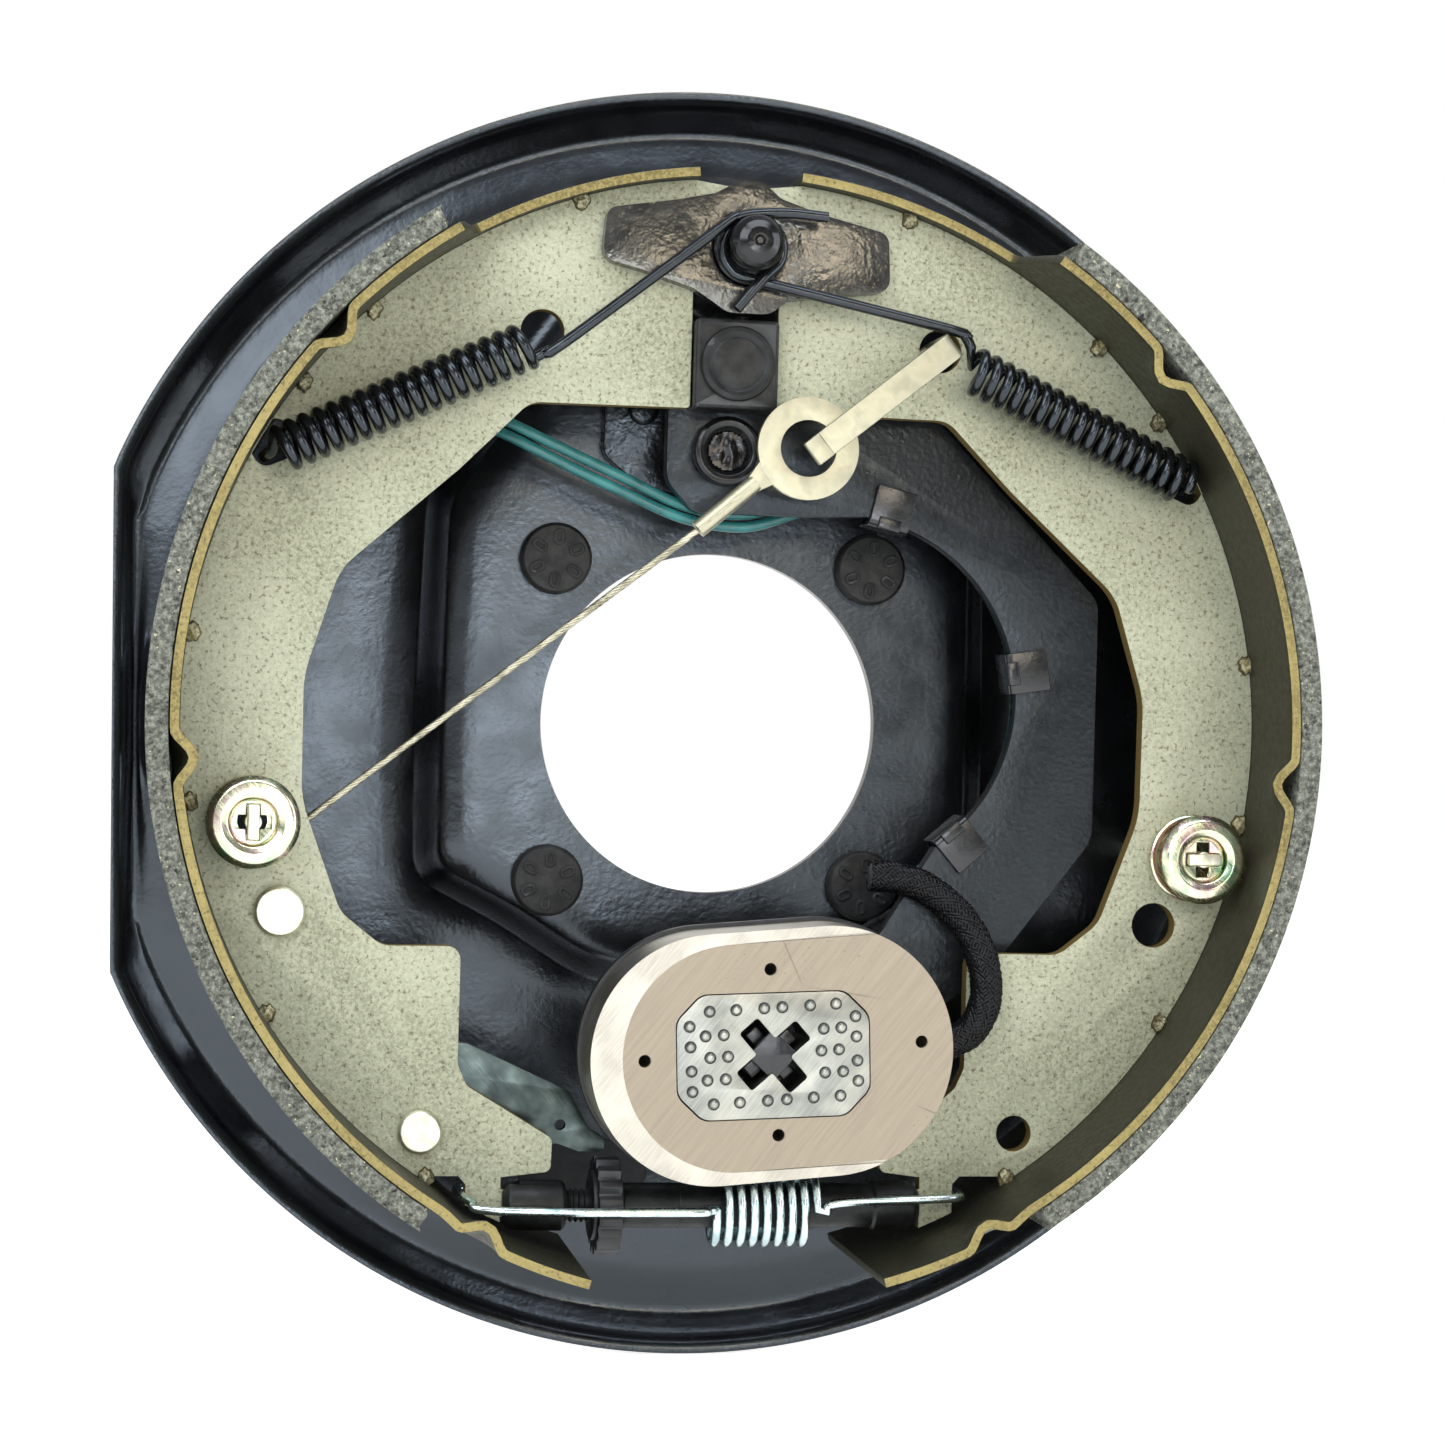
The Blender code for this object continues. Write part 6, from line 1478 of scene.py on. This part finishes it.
core_pin = turned("screw_thread", thread, 2, AXIS, BLACK_STEEL, "X", 48)
teeth = []
for i in range(STAR_TEETH):
    for turn, tooth_radius, edge in ((0, 8.8, 0.3), (0.30, STAR_RADIUS, 0.3),
            (0.70, STAR_RADIUS, 0.3)):
        teeth.append((*polar(tooth_radius, 360 * (i + turn) / STAR_TEETH), edge))
wheel_place = (Matrix.Translation((-25.2 * MM, SCREW_Y * MM, SCREW_Z * MM))
    @ Matrix.Rotation(math.pi / 2, 4, "Z") @ FACE_ON)
star = flat_piece("star_teeth", [rounded(teeth, 2)], -2.6, 2.6, BLACK_STEEL, 0.3, wheel_place)
dress(join("star_wheel_screw", [core_pin, star]), "screw", "black_steel", "adjuster_screw")
print("star wheel:", STAR_TEETH, "teeth")

# %% [markdown]
# A bright spring pulls the two feet on to the adjuster. It is one wire: a hook and a
# straight run on the left, eight turns round the socket, and a second hook on the right.

# %% Adjuster spring
SPRING_FRONT, SPRING_Z, SPRING_RADIUS, SPRING_TURNS = -44.6, -105.4, 8.7, 8
left_hook = -WEB_SIDES["left"]["leg"][1] - 1.3
right_hook = WEB_SIDES["right"]["leg"][1] + 1.3
left_run = smooth_path([(left_hook + 3, -27.4, SPRING_Z + 2.6), (left_hook, -28, SPRING_Z + 2.6),
    (left_hook, -36, SPRING_Z + 2.6), (left_hook + 2, -41.8, SPRING_Z + 1.8),
    (left_hook + 7, SPRING_FRONT, SPRING_Z + 0.4), (-9, SPRING_FRONT, SPRING_Z),
    (-4.5, -42.6, SPRING_Z), (-2.4, -41.4, SPRING_Z)], 0.8)
turns = coil((-1.8, SCREW_Y, SPRING_Z), (20.6, SCREW_Y, SPRING_Z), SPRING_RADIUS, SPRING_TURNS, 0,
    40)
right_run = smooth_path([(22.6, -41, SPRING_Z - 0.4), (25.2, -41.6, SPRING_Z + 1.6),
    (right_hook - 6, -41.6, SPRING_Z + 2.4), (right_hook - 1, -39.4, SPRING_Z + 2.4),
    (right_hook, -35.6, SPRING_Z + 2.4), (right_hook, -28, SPRING_Z + 2.4),
    (right_hook - 3, -27.4, SPRING_Z + 2.4)], 0.8)
pull_spring = wire("foot_spring", left_run + turns + right_run, 1.9, SPRING_ZINC, 14)
dress(pull_spring, "plate", "bright_zinc", "adjuster_spring")

# %% [markdown]
# The self-adjuster: a flat ring hangs on a link from the right shoe, a wire rope runs from
# it over a guide on the left shoe, and its hook lifts a toothed lever beside the star
# wheel. The ring's tail is rolled into a tube that grips the rope.

# %% Ring and rolled tube
ring = flat_piece("ring_flat", [circle(EYE, 11.2, 96), circle(EYE, 6.2, 64)], EYE_FRONT,
    EYE_FRONT + EYE_THICK, EYE_ZINC, 0.3)
EYE_DEPTH = EYE_FRONT + EYE_THICK / 2
tube_start, tube_end = Vector((4.6, EYE_DEPTH, 54.8)), Vector((-10.4, EYE_DEPTH, 41.8))
run = (tube_end - tube_start).normalized()
tube = wire("ring_tube", [tuple(tube_start + run * 3.5), tuple(tube_end)], 3.8, EYE_ZINC, 24)
neck_side = run.cross(Vector((0, -1, 0))) * 3.4
neck_loop = [tube_start - run * 1.5 + neck_side, tube_start + run * 4.2 + neck_side * 0.55,
    tube_start + run * 4.2 - neck_side * 0.55, tube_start - run * 1.5 - neck_side]
neck = flat_piece("ring_neck", [[(p.x, p.z) for p in neck_loop]], EYE_DEPTH - 0.75,
    EYE_DEPTH + 0.75, EYE_ZINC, 0.3)
groove = wire("tube_seam", [tuple(tube_start + run * 5 + Vector((0, -1.72, 0))),
    tuple(tube_end + Vector((0, -1.72, 0)))], 0.5, ROPE_STEEL, 8)
dress(join("cable_ring", [ring, tube, neck, groove]), "right_shoe", "bright_zinc", "cable_eye")

# %% Hook link
LINK_FOOT, LINK_HEAD = Vector((19.6, 0, 63.6)), Vector((44.2, 0, 83.6))
LINK_THICK, LINK_WIDTH = 1.8, 5.8
link_run = (LINK_HEAD - LINK_FOOT).normalized()
link_length = (LINK_HEAD - LINK_FOOT).length
front = EYE_FRONT - GAP - LINK_THICK
back = front + LINK_THICK
section = rounded([(-6.4, -back, 0.3), (-6.6, -front, 0.6), (link_length + 1.6, -front, 1.9),
    (link_length + 1.6, -WEB_BACK - 2.4, 1.6), (link_length - 3.2, -WEB_BACK - 2.4, 0.4),
    (link_length - 3.2, -WEB_BACK - 0.8, 0.4), (link_length - 0.2, -WEB_BACK - 0.8, 0.5),
    (link_length - 0.2, -back, 0.7)], 5)
link_place = Matrix.Translation(LINK_FOOT * MM) @ standing(link_run)
link = flat_piece("link_strip", [section], -LINK_WIDTH / 2, LINK_WIDTH / 2, EYE_ZINC, 0.3,
    link_place)
tab = flat_piece("link_fold", [rounded([(-7.6, -back + 0.1, 0.8), (-7.6, -front + 0.5, 0.7),
    (-3.4, -front + 0.5, 0.5), (-3.4, -back + 0.1, 0.3)], 4)], -LINK_WIDTH / 2, LINK_WIDTH / 2,
    EYE_ZINC, 0.3, link_place)
dress(join("folded_link", [link, tab]), "right_shoe", "bright_zinc", "hook_link")

# %% [markdown]
# The rope is six strands twisted round a core. It crosses three bodies, so it is made in
# three lengths that meet end to end. Strands are lines wound round the same route.

# %% Wire rope
rope_start = tube_end + run * GAP
groove_depth = ADJUSTER_FRONT + 2.4
rope_knots = [tuple(rope_start), (-34, -37.4, 23), (-60, -32.4, 2.3), (-80, -28.6, -13.6),
    (-92, groove_depth, -23.2)]
for i in range(7):
    x, z = polar(GUIDE_RADIUS + CABLE_DIAMETER / 2 + 0.4, 128 + (241 - 128) * i / 6, GUIDE)
    rope_knots.append((x, groove_depth, z))
rope_knots += [(-84, groove_depth + 0.8, -63.4), (-73, -25.4, -69.4),
    (CABLE_HOOK[0], -25.4, CABLE_HOOK[1])]
rope_route = smooth_path(rope_knots, 0.9)
STRANDS, LAY_LENGTH, STRAND_DIAMETER, STRAND_RADIUS = 6, 9, 0.56, 0.53
strands = [wound(rope_route, STRAND_RADIUS, len(rope_route) * 0.9 / LAY_LENGTH, 60 * i, 0, 1)
    for i in range(STRANDS)]
near_ring = min(range(len(rope_route)), key=lambda i: abs(rope_route[i][0] + 50))
guide_side = Vector((-108, groove_depth, -44))
on_guide = min(range(len(rope_route)), key=lambda i: (Vector(rope_route[i]) - guide_side).length)
lengths = {"from_ring": (0, near_ring, "right_shoe", "plate"),
    "to_guide": (near_ring, on_guide, "plate", "left_shoe"),
    "to_hook": (on_guide, len(rope_route) - 1, "left_shoe", "pawl")}
for name, (first, last, body_a, body_b) in lengths.items():
    pieces = [wire(f"rope_core_{name}", rope_route[first:last + 1], 0.7, ROPE_STEEL, 6)]
    pieces += [wire(f"rope_{name}_{i}", strand[first:last + 1], STRAND_DIAMETER, ROPE_STEEL, 6)
        for i, strand in enumerate(strands)]
    rope = join(f"wire_rope_{name}", pieces)
    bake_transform(rope)
    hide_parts("adjuster_cable")
print("wire rope:", STRANDS, "strands in", len(lengths), "lengths")

# %% Guide, rivets and toothed lever
back = ADJUSTER_FRONT + 4.6
guide = turned("rope_guide", [(GUIDE_RADIUS + 1.7, ADJUSTER_FRONT, 0.3),
    (GUIDE_RADIUS + 1.7, ADJUSTER_FRONT + 0.8, 0.3), (GUIDE_RADIUS, ADJUSTER_FRONT + 1.2, 0.4),
    (GUIDE_RADIUS, back - 0.8, 0.4), (GUIDE_RADIUS + 1.7, back, 0.3),
    (GUIDE_RADIUS - 2, back, 0.4), (GUIDE_RADIUS - 2.4, ADJUSTER_FRONT + 1, 0.6),
    (3.6, ADJUSTER_FRONT + 1, 0), (3.6, ADJUSTER_FRONT, 0), (GUIDE_RADIUS + 1.7, ADJUSTER_FRONT,
    0.3)], 3, GUIDE, PAWL_ZINC, steps=64)
dress(guide, "left_shoe", "bright_zinc", "cable_guide")


def rivet(name, centre, head_radius, shank, back):
    """A rivet through a web: a low head in front with a faint dish, an upset end behind."""
    front = WEB_FRONT - GAP
    profile = [(0, front - 1.4, 0), (head_radius * 0.55, front - 1.5, 0.8),
        (head_radius - 0.6, front - 1.6, 0.5), (head_radius, front - 0.9, 0.4),
        (head_radius, front, 0), (shank, front, 0), (shank, back, 0), (shank + 1.6, back, 0.3),
        (shank + 1, back + 1, 0.4), (0, back + 1, 0)]
    return turned(name, profile, 3, centre, RIVET_ZINC, steps=56)


dress(rivet("guide_rivet", GUIDE, 5.5, 3, ADJUSTER_FRONT + 1 + GAP), "left_shoe", "cup_zinc",
    "cable_guide_rivet")
lower = (-LOWER_HOLE[0], LOWER_HOLE[1])
dress(rivet("toothed_lever_rivet", lower, 4.8, 3, ADJUSTER_BACK + GAP), "left_shoe", "cup_zinc",
    "adjuster_lever_rivet")
outline = rounded([(-75.4, -86, 4), (-73, -77, 4), (-62, -70.6, 3), (-56, -71, 2),
    (-33.4, -81.2, 2), (-28.6, -89.6, 2), (-25.4, -91.4, 1), (-25.4, -94.4, 0), (-31, -94.4, 0),
    (-36, -92.6, 3), (-60, -96.6, 3), (-70, -95, 4)])
toothed = flat_piece("toothed_lever", [outline, circle(lower, 3.4, 40),
    circle((-35.2, -88.6), 1.2, 24), circle(CABLE_HOOK, 1.5, 28)], ADJUSTER_FRONT, ADJUSTER_BACK,
    PAWL_ZINC, 0.4)
dress(toothed, "pawl", "bright_zinc", "adjuster_lever")
winding = coil((lower[0], ADJUSTER_BACK + 1.2, lower[1]), (lower[0], ADJUSTER_BACK + 4.6,
    lower[1]), 6.4, 2.5, 0, 36)
lever_spring = wire("lever_return_spring", winding, 1.2, SPRING_ZINC, 10)
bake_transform(lever_spring)
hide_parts("adjuster_lever_spring")
print("self-adjuster dressed")
